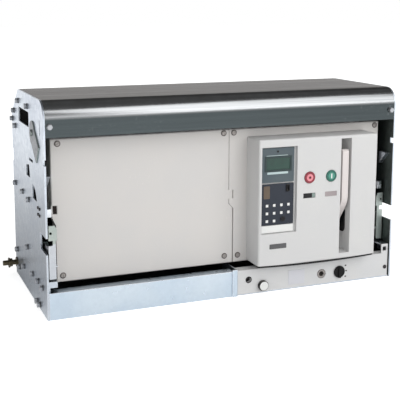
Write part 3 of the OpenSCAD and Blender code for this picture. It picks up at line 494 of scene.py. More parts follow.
def plated(name, colour, drift, roughness=0.34, flakes=110.0, flake_share=0.16, foot_shade=0.0, bare=1.0):
    """Zinc plated sheet, bare or chalky: crystal flakes, rolling lines, scuffs, and painted shade that
    darkens it towards its foot.
    """
    tree, shader, place = new_finish(name)
    base = effect(tree, "tone_drift", Vector=place, Scale=5.0, Colour=colour, Drift=drift)["Colour"]
    zinc = effect(tree, "spangle", Vector=place, Scale=flakes)
    lines = effect(tree, "brushing", Vector=place, Stretch=LINES_ALONG_PLATE)
    marks = effect(tree, "scuffs", Vector=place, Amount=0.5)["Mask"]
    # Darker zinc for the flakes, the scuffs and the painted shade at the foot
    darker_zinc = shade(colour, 0.55)
    flaked = mix(tree, calc(tree, "MULTIPLY", zinc["Tone"], flake_share), base, darker_zinc)
    # Painted shade: the sheet is darker towards its foot, standing in for the shadowed floor it mirrors
    # there
    foot = fade(tree, coordinate(tree, place, 2), FOOT_SHADE_FROM, FOOT_SHADE_TO, foot_shade, 0.0)
    foot_shaded = mix(tree, foot, flaked, darker_zinc)
    wire(tree, shader, Base_Color=mix(tree, marks, foot_shaded, darker_zinc), Metallic=bare,
         Roughness=fade(tree, zinc["Tone"], 0.0, 1.0, roughness - 0.07, roughness + 0.09))
    bump(tree, shader, calc(tree, "ADD", lines["Height"], zinc["Height"]), 0.10, 0.3 * MM)


def polished_hood(name, colour, shaded_lip_colour, edge_tint, roughness):
    """Dark polished sheet with painted shade on its lip, which is darker than the roll, with rolling
    streaks along it and a few marks.
    """
    tree, shader, place = new_finish(name)
    streaks = effect(tree, "brushing", Vector=place, Stretch=LINES_ALONG_X)
    marks = effect(tree, "scuffs", Vector=place, Amount=0.25)["Mask"]
    # Painted shade: below LIP_TOP the sheet takes the darker lip colour, standing in for the dark
    # surroundings the lip mirrors
    above_lip = fade(tree, coordinate(tree, place, 2), LIP_TOP, LIP_TOP + LIP_FADE)
    sheet = mix(tree, above_lip, shaded_lip_colour, colour)
    base = mix(tree, fade(tree, streaks["Tone"], 0.3, 0.7, 0.0, 0.4), sheet, shade(shaded_lip_colour, 0.6))
    scuffed = mix(tree, marks, base, shade(colour, 1.8))
    dusty = effect(tree, "settled_dust", Vector=place, Colour=scuffed, Dust=HOOD_DUST,
                   Amount=0.3)["Colour"]
    wire(tree, shader, Base_Color=dusty, Metallic=1.0, Specular_Tint=edge_tint,
         Roughness=fade(tree, streaks["Tone"], 0.2, 0.8, roughness - 0.04, roughness + 0.05))
    bump(tree, shader, streaks["Height"], 0.04, 0.3 * MM)


def bar_metal(name, colour, tarnish, roughness=0.32):
    """Drawn copper or brass with rolling lines along its depth and patches of tarnish."""
    tree, shader, place = new_finish(name)
    base = effect(tree, "tone_drift", Vector=place, Scale=22.0, Colour=colour, Drift=tarnish)["Colour"]
    lines = effect(tree, "brushing", Vector=place, Stretch=LINES_ALONG_DEPTH)
    drawn = mix(tree, fade(tree, lines["Tone"], 0.45, 0.8, 0.0, 0.6), base, shade(tarnish, 0.7))
    wire(tree, shader, Base_Color=drawn, Metallic=1.0,
         Roughness=fade(tree, lines["Tone"], 0.2, 0.8, roughness - 0.06, roughness + 0.12))
    bump(tree, shader, lines["Height"], 0.12, 0.2 * MM)


def clear_pane(name, colour, drift):
    """Smooth pane over a dark panel."""
    tree, shader, place = new_finish(name)
    tone = effect(tree, "tone_drift", Vector=place, Scale=30.0, Colour=colour, Drift=drift)["Colour"]
    marks = effect(tree, "scuffs", Vector=place, Amount=0.2)["Mask"]
    wire(tree, shader, Base_Color=mix(tree, marks, tone, drift),
         Roughness=fade(tree, noise(tree, place, 60.0), 0.3, 0.7, 0.07, 0.14))


plated("zinc_plate", rgb(217, 225, 234), rgb(202, 210, 222), foot_shade=0.45)
plated("zinc_edge", rgb(236, 240, 244), rgb(224, 229, 235), 0.28)
polished_hood("hood_sheet", rgb(191, 193, 195), rgb(77, 84, 86), (0.30, 0.288, 0.28, 1.0), 0.2)
plated("beam_zinc", rgb(200, 212, 222), rgb(188, 203, 217), flakes=160.0, flake_share=0.06)
plated("rail_zinc", rgb(193, 197, 202), rgb(181, 186, 193), flakes=160.0, flake_share=0.06)
# Greyer, partly bare zinc: painted shade over the whole right rail, a greyer darker tone on the left
# rail's latch, and painted light on the side links' edge faces
plated("rail_shade_and_light", rgb(180, 189, 184), rgb(166, 176, 172), 0.4, bare=0.7)
# Darker zinc for the side plates' inner faces: painted shade for the dark inside of the cradle
plated("plate_inner_shade", rgb(92, 100, 98), rgb(78, 86, 84), 0.5)
plated("steel", rgb(122, 126, 131), rgb(110, 114, 120), flakes=180.0)
plated("dark_steel", rgb(88, 99, 98), rgb(72, 82, 82), 0.42, flakes=150.0)
plated("bolt_zinc", rgb(196, 199, 202), rgb(176, 179, 185), flakes=320.0, bare=0.5)
plated("screw_dark", rgb(84, 82, 82), rgb(70, 68, 70), flakes=320.0)
# Cup washers in dark steel: their own steel, darkened as painted shade for the recess round each screw
# head
plated("cup_shade_steel", rgb(104, 98, 95), rgb(92, 86, 84), flakes=320.0, bare=0.5)
# Washers in darker steel than the bolt heads: partly their own steel, partly painted shade under the
# heads
plated("washer_shade_steel", rgb(134, 136, 138), rgb(118, 120, 123), flakes=320.0, bare=0.6)
plated("screw_steel", rgb(172, 167, 163), rgb(156, 151, 148), flakes=320.0, bare=0.5)
moulded("cover_plastic", rgb(215, 212, 209), rgb(212, 210, 208), dust=0.1)
moulded("face_plastic", rgb(213, 213, 212), rgb(211, 211, 211), dust=0.1)
moulded("panel_paint", rgb(217, 217, 216), rgb(212, 213, 214), 0.4, grain=2600.0, relief=0.05)
moulded("handle_plastic", rgb(226, 219, 217), rgb(221, 214, 212), 0.4)
moulded("white_plastic", rgb(236, 237, 235), rgb(229, 230, 228), 0.38)
moulded("black_plastic", rgb(30, 30, 32), rgb(24, 24, 26), 0.5, gloss=0.3)
moulded("dial_black", rgb(16, 16, 17), rgb(12, 12, 13), 0.45, dust=0.1, gloss=0.2)
# Dark brown for the lock notches' floors: painted shade for the dark inside seen through them
moulded("notch_shade_brown", rgb(44, 36, 34), rgb(36, 30, 29), 0.6, dust=0.0, gloss=0.1)
moulded("case_plastic", rgb(52, 54, 57), rgb(44, 46, 50), 0.5)
moulded("moulded_base", rgb(58, 57, 55), rgb(48, 48, 47), 0.5)
moulded("chute_moulding", rgb(128, 116, 103), rgb(112, 102, 92), 0.6)
moulded("display_plastic", rgb(80, 92, 97), rgb(70, 82, 89), 0.5)
moulded("bezel_plastic", rgb(36, 56, 56), rgb(32, 48, 50), 0.45)
moulded("trim_grey", rgb(190, 208, 208), rgb(180, 198, 200), 0.4)
moulded("flag_grey", rgb(134, 150, 145), rgb(124, 140, 136), 0.45)
moulded("plate_grey", rgb(92, 92, 93), rgb(82, 82, 84), 0.45)
moulded("keypad_film", rgb(48, 53, 63), rgb(40, 45, 55), 0.5, gloss=0.3)
moulded("flag_beige", rgb(176, 166, 165), rgb(160, 150, 152), 0.5)
moulded("patch_amber", rgb(102, 88, 72), rgb(84, 70, 62), 0.5)
moulded("red_plastic", rgb(142, 44, 58), rgb(128, 38, 52), 0.3, coat=0.3)
moulded("dot_red", rgb(84, 14, 26), rgb(72, 10, 20), 0.4)
moulded("pink_plastic", rgb(232, 140, 150), rgb(226, 132, 144), 0.35, coat=0.3)
moulded("green_plastic", rgb(30, 108, 92), rgb(24, 96, 82), 0.3, coat=0.3)
moulded("mint_plastic", rgb(74, 152, 134), rgb(64, 142, 124), 0.35, coat=0.3)
moulded("label_film", rgb(214, 215, 220), rgb(211, 212, 218), 0.36, dust=0.1)
bar_metal("copper", rgb(206, 138, 104), rgb(176, 106, 80))
bar_metal("brass", rgb(124, 114, 92), rgb(100, 92, 76))
clear_pane("screen_glass", rgb(20, 66, 54), rgb(16, 54, 46))


# CAD pieces with their real edge rounding, by slot: the rounding and the pieces

ROUNDED = {
    "zinc_plate": (0.6, ["left_side_plate", "right_side_plate", "base_plate", "rail_brackets"]),
    "hood_sheet": (0.4, ["top_hood"]),
    "beam_zinc": (0.8, ["front_beam", "beam_bracket"]),
    "rail_zinc": (0.6, ["left_rail", "right_rail"]),
    "steel": (0.5, ["secondary_rail", "side_links", "crank_socket", "handle_pin"]),
    "dark_steel": (0.5, ["left_rail_guide", "right_rail_guide", "left_cheek", "right_cheek"]),
    "cover_plastic": (0.8, ["blank_cover", "front_cover"]),
    "panel_paint": (0.5, ["racking_panel"]),
    "face_plastic": (0.9, ["face_housing"]),
    "handle_plastic": (2.2, ["charging_handle"]),
    "white_plastic": (0.5, ["keys", "setting_strip", "release_knob"]),
    "black_plastic": (0.6, ["position_dial", "secondary_terminals", "state_flag"]),
    "case_plastic": (1.5, ["breaker_case", "mechanism_box", "pole_barriers"]),
    "moulded_base": (1.5, ["rear_base", "terminal_barriers"]),
    "chute_moulding": (1.2, ["arc_chutes"]),
    "copper": (0.9, ["upper_terminals", "lower_terminals", "upper_contacts", "lower_contacts"]),
    "brass": (0.4, ["earth_stud"]),
    "display_plastic": (0.5, ["display_module"]),
    "keypad_film": (0.5, ["keypad"]),
    "screen_glass": (0.2, ["screen"]),
    "flag_beige": (0.2, ["charge_flag"]),
    "red_plastic": (0.5, ["off_button"]),
    "green_plastic": (0.5, ["on_button"]),
}
EDGE_FINISH = {"zinc_plate": "zinc_edge", "beam_zinc": "zinc_edge", "rail_zinc": "zinc_edge"}
PLATE_INNER = OUTER_X - 8 * MM
LATCH_FOOT = 158 * MM
LOCK_BAR_FOOT = 200 * MM
LOCK_BAR_BACK = COVER_FRONT + 35 * MM
# Heights at which a piece's faces are split, so that they can differ above
SPLIT_AT = {"left_rail": LATCH_FOOT}


def on_lock_bar(centre, normal):
    """Picks the bar at the front of a cheek that locks the truck."""
    return centre.y < LOCK_BAR_BACK and centre.z > LOCK_BAR_FOOT


def everywhere(centre, normal):
    """Picks every face."""
    return True


# Faces that differ from the rest of their piece, by their centre and normal
TONED = {
    # The side plates' inner faces take painted shade
    "left_side_plate": ("plate_inner_shade", lambda c, n: n.x > ALIGNED and c.x < -PLATE_INNER),
    "right_side_plate": ("plate_inner_shade", lambda c, n: n.x < -ALIGNED and c.x > PLATE_INNER),
    # Side links: paler edge faces as painted light; right rail: painted shade; left rail: greyer above
    # LATCH_FOOT
    "side_links": ("rail_shade_and_light", lambda c, n: abs(n.x) < ALIGNED),
    "left_rail": ("rail_shade_and_light", lambda c, n: c.z > LATCH_FOOT),
    "right_rail": ("rail_shade_and_light", everywhere),
    "left_cheek": ("zinc_edge", on_lock_bar),
    "right_cheek": ("zinc_edge", on_lock_bar),
    "release_knob": ("black_plastic", lambda c, n: n.y > -0.97),
    "position_dial": ("dial_black", everywhere),
    "crank_socket": ("screw_steel", everywhere),
}


def rounded_copy(node, width, slot):
    """Stands in for a CAD node: its own shape with its sharp edges rounded."""
    source = frame["nodes"][node]
    piece = bpy.data.objects.new(node + "_finished", source.data.copy())
    bpy.context.scene.collection.objects.link(piece)
    edit_whole(piece)
    bpy.ops.mesh.remove_doubles(threshold=MERGE_WITHIN)
    bpy.ops.mesh.dissolve_limited(angle_limit=FLAT_ANGLE)
    object_mode()
    piece.data.materials.clear()
    for finish in (slot, EDGE_FINISH.get(slot, slot)):
        piece.data.materials.append(FINISH[finish])
    round_edges(piece, width * MM, edge_slot=1)
    if node in SPLIT_AT:
        edit_whole(piece)
        bpy.ops.mesh.bisect(plane_co=(0, 0, SPLIT_AT[node]), plane_no=(0, 0, 1))
        object_mode()
    if node in TONED:
        tone, test = TONED[node]
        piece.data.materials.append(FINISH[tone])
        for face in piece.data.polygons:
            if test(face.center, face.normal):
                face.material_index = 2
    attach(piece, source["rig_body"])
    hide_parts(node)


# Fasteners

WASHER_ROUND, SPRING_SHARE, SPRING_SPLIT = 0.4, 0.82, 0.8
HEAD_CHAMFER, HEAD_CROWN, HEAD_ROUND = 0.9, 0.6, 0.35
# Faces whose middle is higher than this above the washers belong to the head
HEAD_FROM = 0.1


def hex_bolt(across=10.5, head=4.2, washer_r=6.6, washer_t=1.2, spring_t=1.4):
    """Hexagon head with a chamfered top, on a spring washer and a plain washer."""
    plain = round_bar(washer_r * MM, washer_t * MM)
    round_edges(plain, WASHER_ROUND * MM)
    spring = round_bar(washer_r * SPRING_SHARE * MM, spring_t * MM, sides=24)
    sink(spring, lambda c, n: abs(n.z) < 0.1 and n.x > 0.99, 0.0, SPRING_SPLIT * MM)
    spring.data.transform(Matrix.Translation((0, 0, washer_t * MM)))
    body = round_bar(across / sqrt(3) * MM, head * MM, sides=6)
    pick_faces(body, faces_up)
    bpy.ops.mesh.inset(thickness=HEAD_CHAMFER * MM)
    bpy.ops.transform.translate(value=(0, 0, HEAD_CROWN * MM))
    object_mode()
    round_edges(body, HEAD_ROUND * MM)
    seat = (washer_t + spring_t) * MM
    body.data.transform(Matrix.Translation((0, 0, seat)))
    bolt = fuse(plain, spring, body)
    # Head in pale zinc; washers in darker steel that adds painted shade under the head
    for finish in ("bolt_zinc", "washer_shade_steel"):
        bolt.data.materials.append(FINISH[finish])
    for face in bolt.data.polygons:
        face.material_index = 0 if face.center.z > seat + HEAD_FROM * MM else 1
    return bolt


CUP_HIGH, CUP_RIM, CUP_DEEP, CUP_ROUND = 0.9, 1.0, 0.6, 0.25


def screw_cup(radius=6.5):
    """Cupped washer that a screw head sits in."""
    cup = round_bar(radius * MM, CUP_HIGH * MM)
    sink(cup, faces_up, CUP_RIM * MM, CUP_DEEP * MM)
    return round_edges(cup, CUP_ROUND * MM)


SCREW_DOME, SLOT_END, SLOT_DEEP, SLOT_SHARE = 1.1, 0.5, 1.0, 0.28


def pan_screw(radius=4.8, head=2.2):
    """Domed screw head with a straight slot."""
    screw = round_bar(radius * MM, head * MM, sides=28)
    pick_faces(screw, faces_up)
    bpy.ops.mesh.bevel(offset=SCREW_DOME * MM, segments=3)
    object_mode()
    sink(screw, faces_up, SLOT_END * MM, SLOT_DEEP * MM, (1, SLOT_SHARE, 1))
    take(screw)
    bpy.ops.object.shade_smooth_by_angle(angle=SCREW_SMOOTH_ANGLE)
    return screw


# Depth and height on the side plates
PLATE_BOLTS = [(268, 421), (162, 420), (324, 393), (344, 372), (311, 359), (328, 223), (240, 220),
               (170, 216), (329, 63), (198, 103), (306, 26), (249, 44), (148, 56), (88, 58),
               (42, 57), (100, 11), (74, 11)]
PLATE_SCREWS = [(54, 206), (70, 206), (54, 220), (70, 220)]
# X and height on the hood's lip and on the covers
HOOD_BOLTS = [(-394, 396), (392, 396)]
COVER_SCREWS = {"blank_cover": [(-371, 356), (-365, 80), (-6, 358), (-3, 83)],
                "front_cover": [(18, 358), (29, 82), (375, 357), (366, 80)]}
# Turn of the heads in radians: by a millimetre of depth on the plates, by one of X on the
# covers, and the same for both bolts of the hood
PLATE_TURN, COVER_TURN, HOOD_TURN = 0.37, 0.71, 0.4


def plate_places(side, spots):
    """Where heads stand on a side plate, each turned its own way."""
    return [facing((side, 0, 0), on_plate(side, depth, height), depth * PLATE_TURN)
            for depth, height in spots]


def plate_bolts():
    """Hexagon bolts and small screws on the outside of both side plates."""
    for side, name in ((-1, "left"), (1, "right")):
        bolts = copies(hex_bolt(), plate_places(side, PLATE_BOLTS))
        finish_piece(bolts, name + "_plate_bolts", "cradle")
        screws = copies(pan_screw(radius=3.4, head=2.4), plate_places(side, PLATE_SCREWS))
        finish_piece(screws, name + "_plate_screws", "cradle", "screw_dark")


def hood_bolts():
    """A bolt through each end of the hood's lip."""
    places = [facing(FORWARDS, on_front(HOOD_LOW.y, x, z), HOOD_TURN) for x, z in HOOD_BOLTS]
    bolts = copies(hex_bolt(across=10.0, head=4.0, washer_r=6.5, washer_t=1.4), places)
    finish_piece(bolts, "hood_bolts", "cradle")


def cover_screws():
    """Slotted screws in cupped washers at the corners of both covers."""
    for cover, spots in COVER_SCREWS.items():
        places = [facing(FORWARDS, on_front(COVER_FRONT, x, z), x * COVER_TURN) for x, z in spots]
        # The cups' dark steel is partly painted shade round the screw heads
        cups = copies(screw_cup(), places)
        finish_piece(cups, cover + "_screw_cups", "truck", "cup_shade_steel")
        screws = copies(pan_screw(), places)
        finish_piece(screws, cover + "_screws", "truck", "screw_steel")


# Small parts of the operator face

BEZEL_RIM, BEZEL_LAP = 4.0, 0.2
BEZEL_PROUD, BEZEL_SUNK, BEZEL_WALL, BEZEL_ROUND = 0.9, 0.4, 0.6, 0.2


def screen_bezel():
    """Dark frame round the screen, a little proud of the display."""
    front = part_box("display_module")[0].y
    low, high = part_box("screen")
    middle = (low + high) / 2
    rim = BEZEL_RIM * MM
    bezel = block((low.x - rim, front - BEZEL_PROUD * MM, low.z - rim),
                  (high.x + rim, front + BEZEL_SUNK * MM, high.z + rim))
    pick_faces(bezel, faces_front)
    bpy.ops.mesh.inset(thickness=rim + BEZEL_LAP * MM)
    object_mode()
    pick_faces(bezel, lambda c, n: abs(n.y) > ALIGNED and abs(c.x - middle.x) < MM
               and abs(c.z - middle.z) < MM)
    bpy.ops.mesh.delete(type="FACE")
    object_mode()
    wall = bezel.modifiers.new("wall", "SOLIDIFY")
    wall.thickness = BEZEL_WALL * MM
    wall.offset = -1
    take(bezel)
    bpy.ops.object.modifier_apply(modifier=wall.name)
    round_edges(bezel, BEZEL_ROUND * MM)
    finish_piece(bezel, "screen_bezel", "truck", "bezel_plastic")


# Distances past the screen's sides, distances from its lower or upper edge, thickness, rounding
LOWER_BAR = ((2, -5), (-9.5, -4.6), 0.8, 0.3)
# The thin bar above the screen is a painted highlight
TOP_EDGE_HIGHLIGHT = ((0, -6), (4.6, 5.8), 0.6, 0.2)


def display_bars():
    """Pale bar below the screen, and a thin pale bar above it as a painted highlight along the screen's
    top edge.
    """
    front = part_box("display_module")[0].y
    low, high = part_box("screen")
    bars = []
    for edge, (x, z, thick, rounding) in ((low.z / MM, LOWER_BAR), (high.z / MM, TOP_EDGE_HIGHLIGHT)):
        bars.append(plate_on(front, (low.x / MM + x[0], high.x / MM + x[1]),
                             (edge + z[0], edge + z[1]), thick, rounding))
    finish_piece(fuse(*bars), "display_bars", "truck", "trim_grey")


LAMP_R, LAMP_HIGH, LAMP_ROUND = 2.4, 1.2, 0.5
# From the left side of the screen, and down from the top of the display
LAMP_ACROSS, LAMP_DOWN = 27, 8


def display_lamp():
    """Small dark lamp above the screen."""
    low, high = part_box("display_module")
    lamp = round_bar(LAMP_R * MM, LAMP_HIGH * MM, sides=20)
    round_edges(lamp, LAMP_ROUND * MM, segments=3)
    spot = Vector((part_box("screen")[0].x + LAMP_ACROSS * MM, low.y, high.z - LAMP_DOWN * MM))
    finish_piece(stand(lamp, spot), "display_lamp", "truck", "black_plastic")


# Distances from the keypad's left edge and from its top, or its foot for the knob
KEYPAD_PATCH = ((4, 19), (-32, -4))
TEST_PORT = ((58, 66), (-18, -3))
PORT_RIM, PORT_DEEP = 1.6, 1.0
RESET_KNOB = (51, 12)
KNOB_R, KNOB_HIGH, KNOB_RIM, KNOB_SLOT, KNOB_SHARE, KNOB_TURN = 5.5, 2.4, 1.0, 1.2, 0.24, 0.5


def keypad_details():
    """Amber patch, cover of the test port and slotted reset knob on the keypad."""
    low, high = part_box("keypad")
    left, top = low.x / MM, high.z / MM

    def on_keypad(area, **shape):
        x, z = area
        return plate_on(low.y, (left + x[0], left + x[1]), (top + z[0], top + z[1]), **shape)

    patch = on_keypad(KEYPAD_PATCH, thick=0.6, rounding=0.25, corner=2.0)
    finish_piece(patch, "keypad_patch", "truck", "patch_amber")
    port = on_keypad(TEST_PORT, thick=1.4, rounding=0.4, corner=1.2)
    sink(port, faces_front, PORT_RIM * MM, PORT_DEEP * MM)
    finish_piece(port, "test_port_cover", "truck", "black_plastic")
    knob = round_bar(KNOB_R * MM, KNOB_HIGH * MM, sides=28)
    sink(knob, faces_up, KNOB_RIM * MM, KNOB_SLOT * MM, (1, KNOB_SHARE, 1))
    round_edges(knob, 0.4 * MM)
    across, up = RESET_KNOB
    spot = Vector((low.x + across * MM, low.y, low.z + up * MM))
    finish_piece(stand(knob, spot, KNOB_TURN), "reset_knob", "truck", "black_plastic")


BUTTON_DISH = 1.0 * MM
BUTTON_FACE_R, BUTTON_FACE_T = 8.0, 0.5
MARK_T, OFF_DOT_R = 1.0, 2.8
ON_BAR_X, ON_BAR_Z = 1.4, 5.5


def button_faces():
    """Paler disc in each button's dish, with a dot or an upright bar on it."""
    for button, slot, finish in (("off_button", "red_plastic", "pink_plastic"),
                                 ("on_button", "green_plastic", "mint_plastic")):
        low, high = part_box(button)
        middle = (low + high) / 2
        dish = low.y + BUTTON_DISH
        spot = Vector((middle.x, dish, middle.z))
        disc = round_bar(BUTTON_FACE_R * MM, BUTTON_FACE_T * MM, sides=40)
        round_edges(disc, 0.2 * MM)
        finish_piece(stand(disc, spot), button + "_face", button, finish)
        if button == "off_button":
            dot = round_bar(OFF_DOT_R * MM, MARK_T * MM, sides=24)
            round_edges(dot, 0.3 * MM)
            finish_piece(stand(dot, spot), "off_button_dot", button, "dot_red")
        else:
            x, z = middle.x / MM, middle.z / MM
            bar = plate_on(dish, (x - ON_BAR_X, x + ON_BAR_X), (z - ON_BAR_Z, z + ON_BAR_Z),
                           thick=MARK_T, rounding=0.25, corner=1.2)
            finish_piece(bar, "on_button_bar", button, "white_plastic")


FLAG_PATCH_W, FLAG_SIDE, FLAG_ENDS = 8.0, 0.6, 0.8


def state_flag_patch():
    """Paler right end of the state window's flag."""
    low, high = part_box("state_flag")
    patch = plate_on(low.y, (high.x / MM - FLAG_PATCH_W, high.x / MM - FLAG_SIDE),
                     (low.z / MM + FLAG_ENDS, high.z / MM - FLAG_ENDS), thick=0.25, rounding=0.1)
    finish_piece(patch, "state_flag_patch", "truck", "flag_grey")


NAME_PLATE = ((77, 118), (106, 117))


def name_plate():
    """Small dark plate, left bare."""
    plate = plate_on(FACE_FRONT, *NAME_PLATE, thick=0.7, rounding=0.3, corner=1.5)
    finish_piece(plate, "bare_name_plate", "truck", "plate_grey")


# Small parts of the racking panel

RATING_PLATE = ((139, 180), (10, 43))
PANEL_SCREW = (393, 24)
PANEL_SCREW_TURN = 0.6
# Distances from the dial's middle, and half the size of a mark
DIAL_MARKS = ((17, 13), (19, 0), (17, -13))
MARK_X, MARK_Z = 2, 1.4


def panel_marks():
    """Bare rating plate, a screw, and the marks beside the position dial."""
    plate = plate_on(PANEL_FRONT, *RATING_PLATE, thick=0.7, rounding=0.3, corner=1.5)
    finish_piece(plate, "bare_rating_plate", "cradle", "label_film")
    screw = stand(pan_screw(radius=4.6, head=2.0), on_front(PANEL_FRONT, *PANEL_SCREW),
                  PANEL_SCREW_TURN)
    finish_piece(screw, "panel_screw", "cradle", "screw_dark")
    low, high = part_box("position_dial")
    middle = (low + high) / (2 * MM)
    marks = [plate_on(PANEL_FRONT, (middle.x + dx - MARK_X, middle.x + dx + MARK_X),
                      (middle.z + dz - MARK_Z, middle.z + dz + MARK_Z), thick=0.5, rounding=0.2)
             for dx, dz in DIAL_MARKS]
    finish_piece(fuse(*marks), "dial_marks", "cradle", "dial_black")


LOCK_HOLE = (40, 34)
LOCK_R, LOCK_LONG, LOCK_BEHIND = 4.9, 8, 15
KEYWAY_END, KEYWAY_DEEP, KEYWAY_SHARE = 1.0, 2.0, 0.3
COLLAR_R, COLLAR_WIRE, COLLAR_FLAT, COLLAR_PROUD = 6.3, 1.2, 0.6, 0.3


def panel_lock():
    """Barrel with a keyway in the lock hole, and a flattened collar round the hole."""
    lock = round_bar(LOCK_R * MM, LOCK_LONG * MM, sides=28)
    sink(lock, faces_up, KEYWAY_END * MM, KEYWAY_DEEP * MM, (1, KEYWAY_SHARE, 1))
    round_edges(lock, 0.3 * MM)
    lock = stand(lock, on_front(STEP_FRONT + LOCK_BEHIND * MM, *LOCK_HOLE), pi / 2)
    finish_piece(lock, "lock_barrel", "cradle", "screw_dark")
    deselect()
    bpy.ops.mesh.primitive_torus_add(major_radius=COLLAR_R * MM, minor_radius=COLLAR_WIRE * MM,
                                     major_segments=36, minor_segments=10)
    bpy.context.active_object.scale = (1, 1, COLLAR_FLAT)
    collar = settle()
    bpy.ops.object.shade_smooth()
    collar = stand(collar, on_front(STEP_FRONT - COLLAR_PROUD * MM, *LOCK_HOLE))
    finish_piece(collar, "lock_collar", "cradle", "black_plastic")


# Dark strips and pads: painted shade put where there is only shade

FACE_BOW = 4 * MM
SHADE_STRIP_HIGH, SHADE_STRIP_DEEP, SHADE_STRIP_END, SHADE_STRIP_BEHIND = 5 * MM, 14 * MM, 3 * MM, 4 * MM


def lower_edge_shade_strip():
    """Black strip under the bowed lower edge of the operator face: painted shade for the dark gap
    between the face and the racking panel.
    """
    low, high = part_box("face_housing")
    width = high.x - low.x
    radius = width ** 2 / (8 * FACE_BOW) + FACE_BOW / 2
    middle = Vector(((low.x + high.x) / 2, 0, low.z + radius))
    half_turn = asin((width / 2 - SHADE_STRIP_END) / radius)
    deselect()
    bpy.ops.mesh.primitive_plane_add(size=1, rotation=(0, pi / 2, 0), location=(
        middle.x, FACE_FRONT + SHADE_STRIP_BEHIND + SHADE_STRIP_DEEP / 2, low.z - SHADE_STRIP_HIGH / 2))
    bpy.context.active_object.scale = (SHADE_STRIP_HIGH, SHADE_STRIP_DEEP, 1)
    strip = settle()
    strip.data.transform(Matrix.Translation(middle) @ Matrix.Rotation(half_turn, 4, "Y")
                         @ Matrix.Translation(-middle))
    edit_whole(strip)
    bpy.ops.mesh.spin(steps=24, angle=2 * half_turn, center=middle, axis=(0, 1, 0))
    bpy.ops.mesh.select_all(action="SELECT")
    bpy.ops.mesh.remove_doubles(threshold=MERGE_WITHIN)
    bpy.ops.mesh.normals_make_consistent(inside=False)
    object_mode()
    round_edges(strip, 0.6 * MM)
    finish_piece(strip, "lower_edge_shade_strip", "truck", "black_plastic")


# Depths and heights of the pad
WELL_SHADE_PAD = ((-4, 26), (120, 178))
SHADE_PAD_T, SHADE_PAD_CORNER = 0.5, 12.0
HANDLE_SLOT_RIGHT = 277.5 * MM


def handle_well_shade_pad():
    """Thin black pad on the right wall of the handle's well: painted shade for the dark opening behind
    the handle.
    """
    (y0, y1), z = WELL_SHADE_PAD
    pad = plate_on(0.0, (-(y1 - y0) / 2, (y1 - y0) / 2), z, thick=SHADE_PAD_T, rounding=0.1,
                   corner=SHADE_PAD_CORNER)
    pad.data.transform(Matrix.Translation((HANDLE_SLOT_RIGHT, FRONT + (y0 + y1) / 2 * MM, 0))
                       @ Matrix.Rotation(-pi / 2, 4, "Z"))
    finish_piece(pad, "handle_well_shade_pad", "truck", "dial_black")


LOCK_NOTCH = ((375.4, 382.5), (211, 228))
NOTCH_FLOOR = COVER_FRONT + 2.5 * MM


def lock_notch_shade_pads():
    """Dark pad on the floor of the lock notch in each cover's outer edge: painted shade for the dark
    inside seen through the notch.
    """
    (x0, x1), z = LOCK_NOTCH
    for cover, x in (("blank_cover", (-x1, -x0)), ("front_cover", (x0, x1))):
        pad = plate_on(NOTCH_FLOOR, x, z, thick=0.8, rounding=0.25, corner=1.5)
        finish_piece(pad, cover + "_notch_shade_pad", "truck", "notch_shade_brown")


# Camera, light and stage

EYE = Vector((-0.7469, -1.8648, 0.6391))
AZIMUTH, ELEVATION, ROLL = -21.690, 8.973, 0.125
LENS, SENSOR, FAR_END = 78.795, 36, 50
SHIFT_Y = -0.15


def camera():
    """Camera at the photograph's viewing angle."""
    lens = bpy.data.cameras.new("photo_view")
    lens.lens = LENS
    lens.sensor_width = SENSOR
    lens.shift_y = SHIFT_Y
    lens.clip_end = FAR_END
    view = bpy.data.objects.new("photo_view", lens)
    turn = (Matrix.Rotation(radians(AZIMUTH), 4, "Z")
            @ Matrix.Rotation(radians(90 - ELEVATION), 4, "X")
            @ Matrix.Rotation(radians(ROLL), 4, "Z"))
    view.matrix_world = Matrix.Translation(EYE) @ turn
    bpy.context.scene.collection.objects.link(view)
    bpy.context.scene.camera = view


KEY_LAMP = {"place": (1.3, -2.1, 1.95), "target": (0.1, -0.1, 0.35), "size": (2.1, 2.4),
            "radiance": 1.75}
FRONT_LAMP = {"place": (0.2, -3.0, 1.0), "target": (0.0, 0.0, 0.3), "size": (2.6, 1.2),
              "radiance": 1.6, "mirrored": False}


def softbox(name, place, target, size, radiance, mirrored=True):
    """Rectangular lamp aimed at a target, its power set by the brightness of its surface."""
    lamp = bpy.data.lights.new(name, "AREA")
    lamp.shape = "RECTANGLE"
    lamp.size, lamp.size_y = size
    lamp.energy = radiance * pi * size[0] * size[1]
    holder = bpy.data.objects.new(name, lamp)
    holder.visible_glossy = mirrored
    aim = (Vector(place) - Vector(target)).to_track_quat("Z", "Y")
    holder.matrix_world = Matrix.Translation(Vector(place)) @ aim.to_matrix().to_4x4()
    bpy.context.scene.collection.objects.link(holder)


def mirrored_ray(tree, ray):
    """1 for rays that were mirrored or let through."""
    return calc(tree, "MAXIMUM", ray["Is Glossy Ray"], ray["Is Transmission Ray"])


WHITE = (1.0, 1.0, 1.0, 1.0)
# Strength of the fill at the horizon and overhead
FILL = (0.72, 0.6)
# How far up the white sweep turns into the dim ceiling, and how bright that is
SWEEP_END, CEILING_START, CEILING = 0.22, 0.5, 0.1


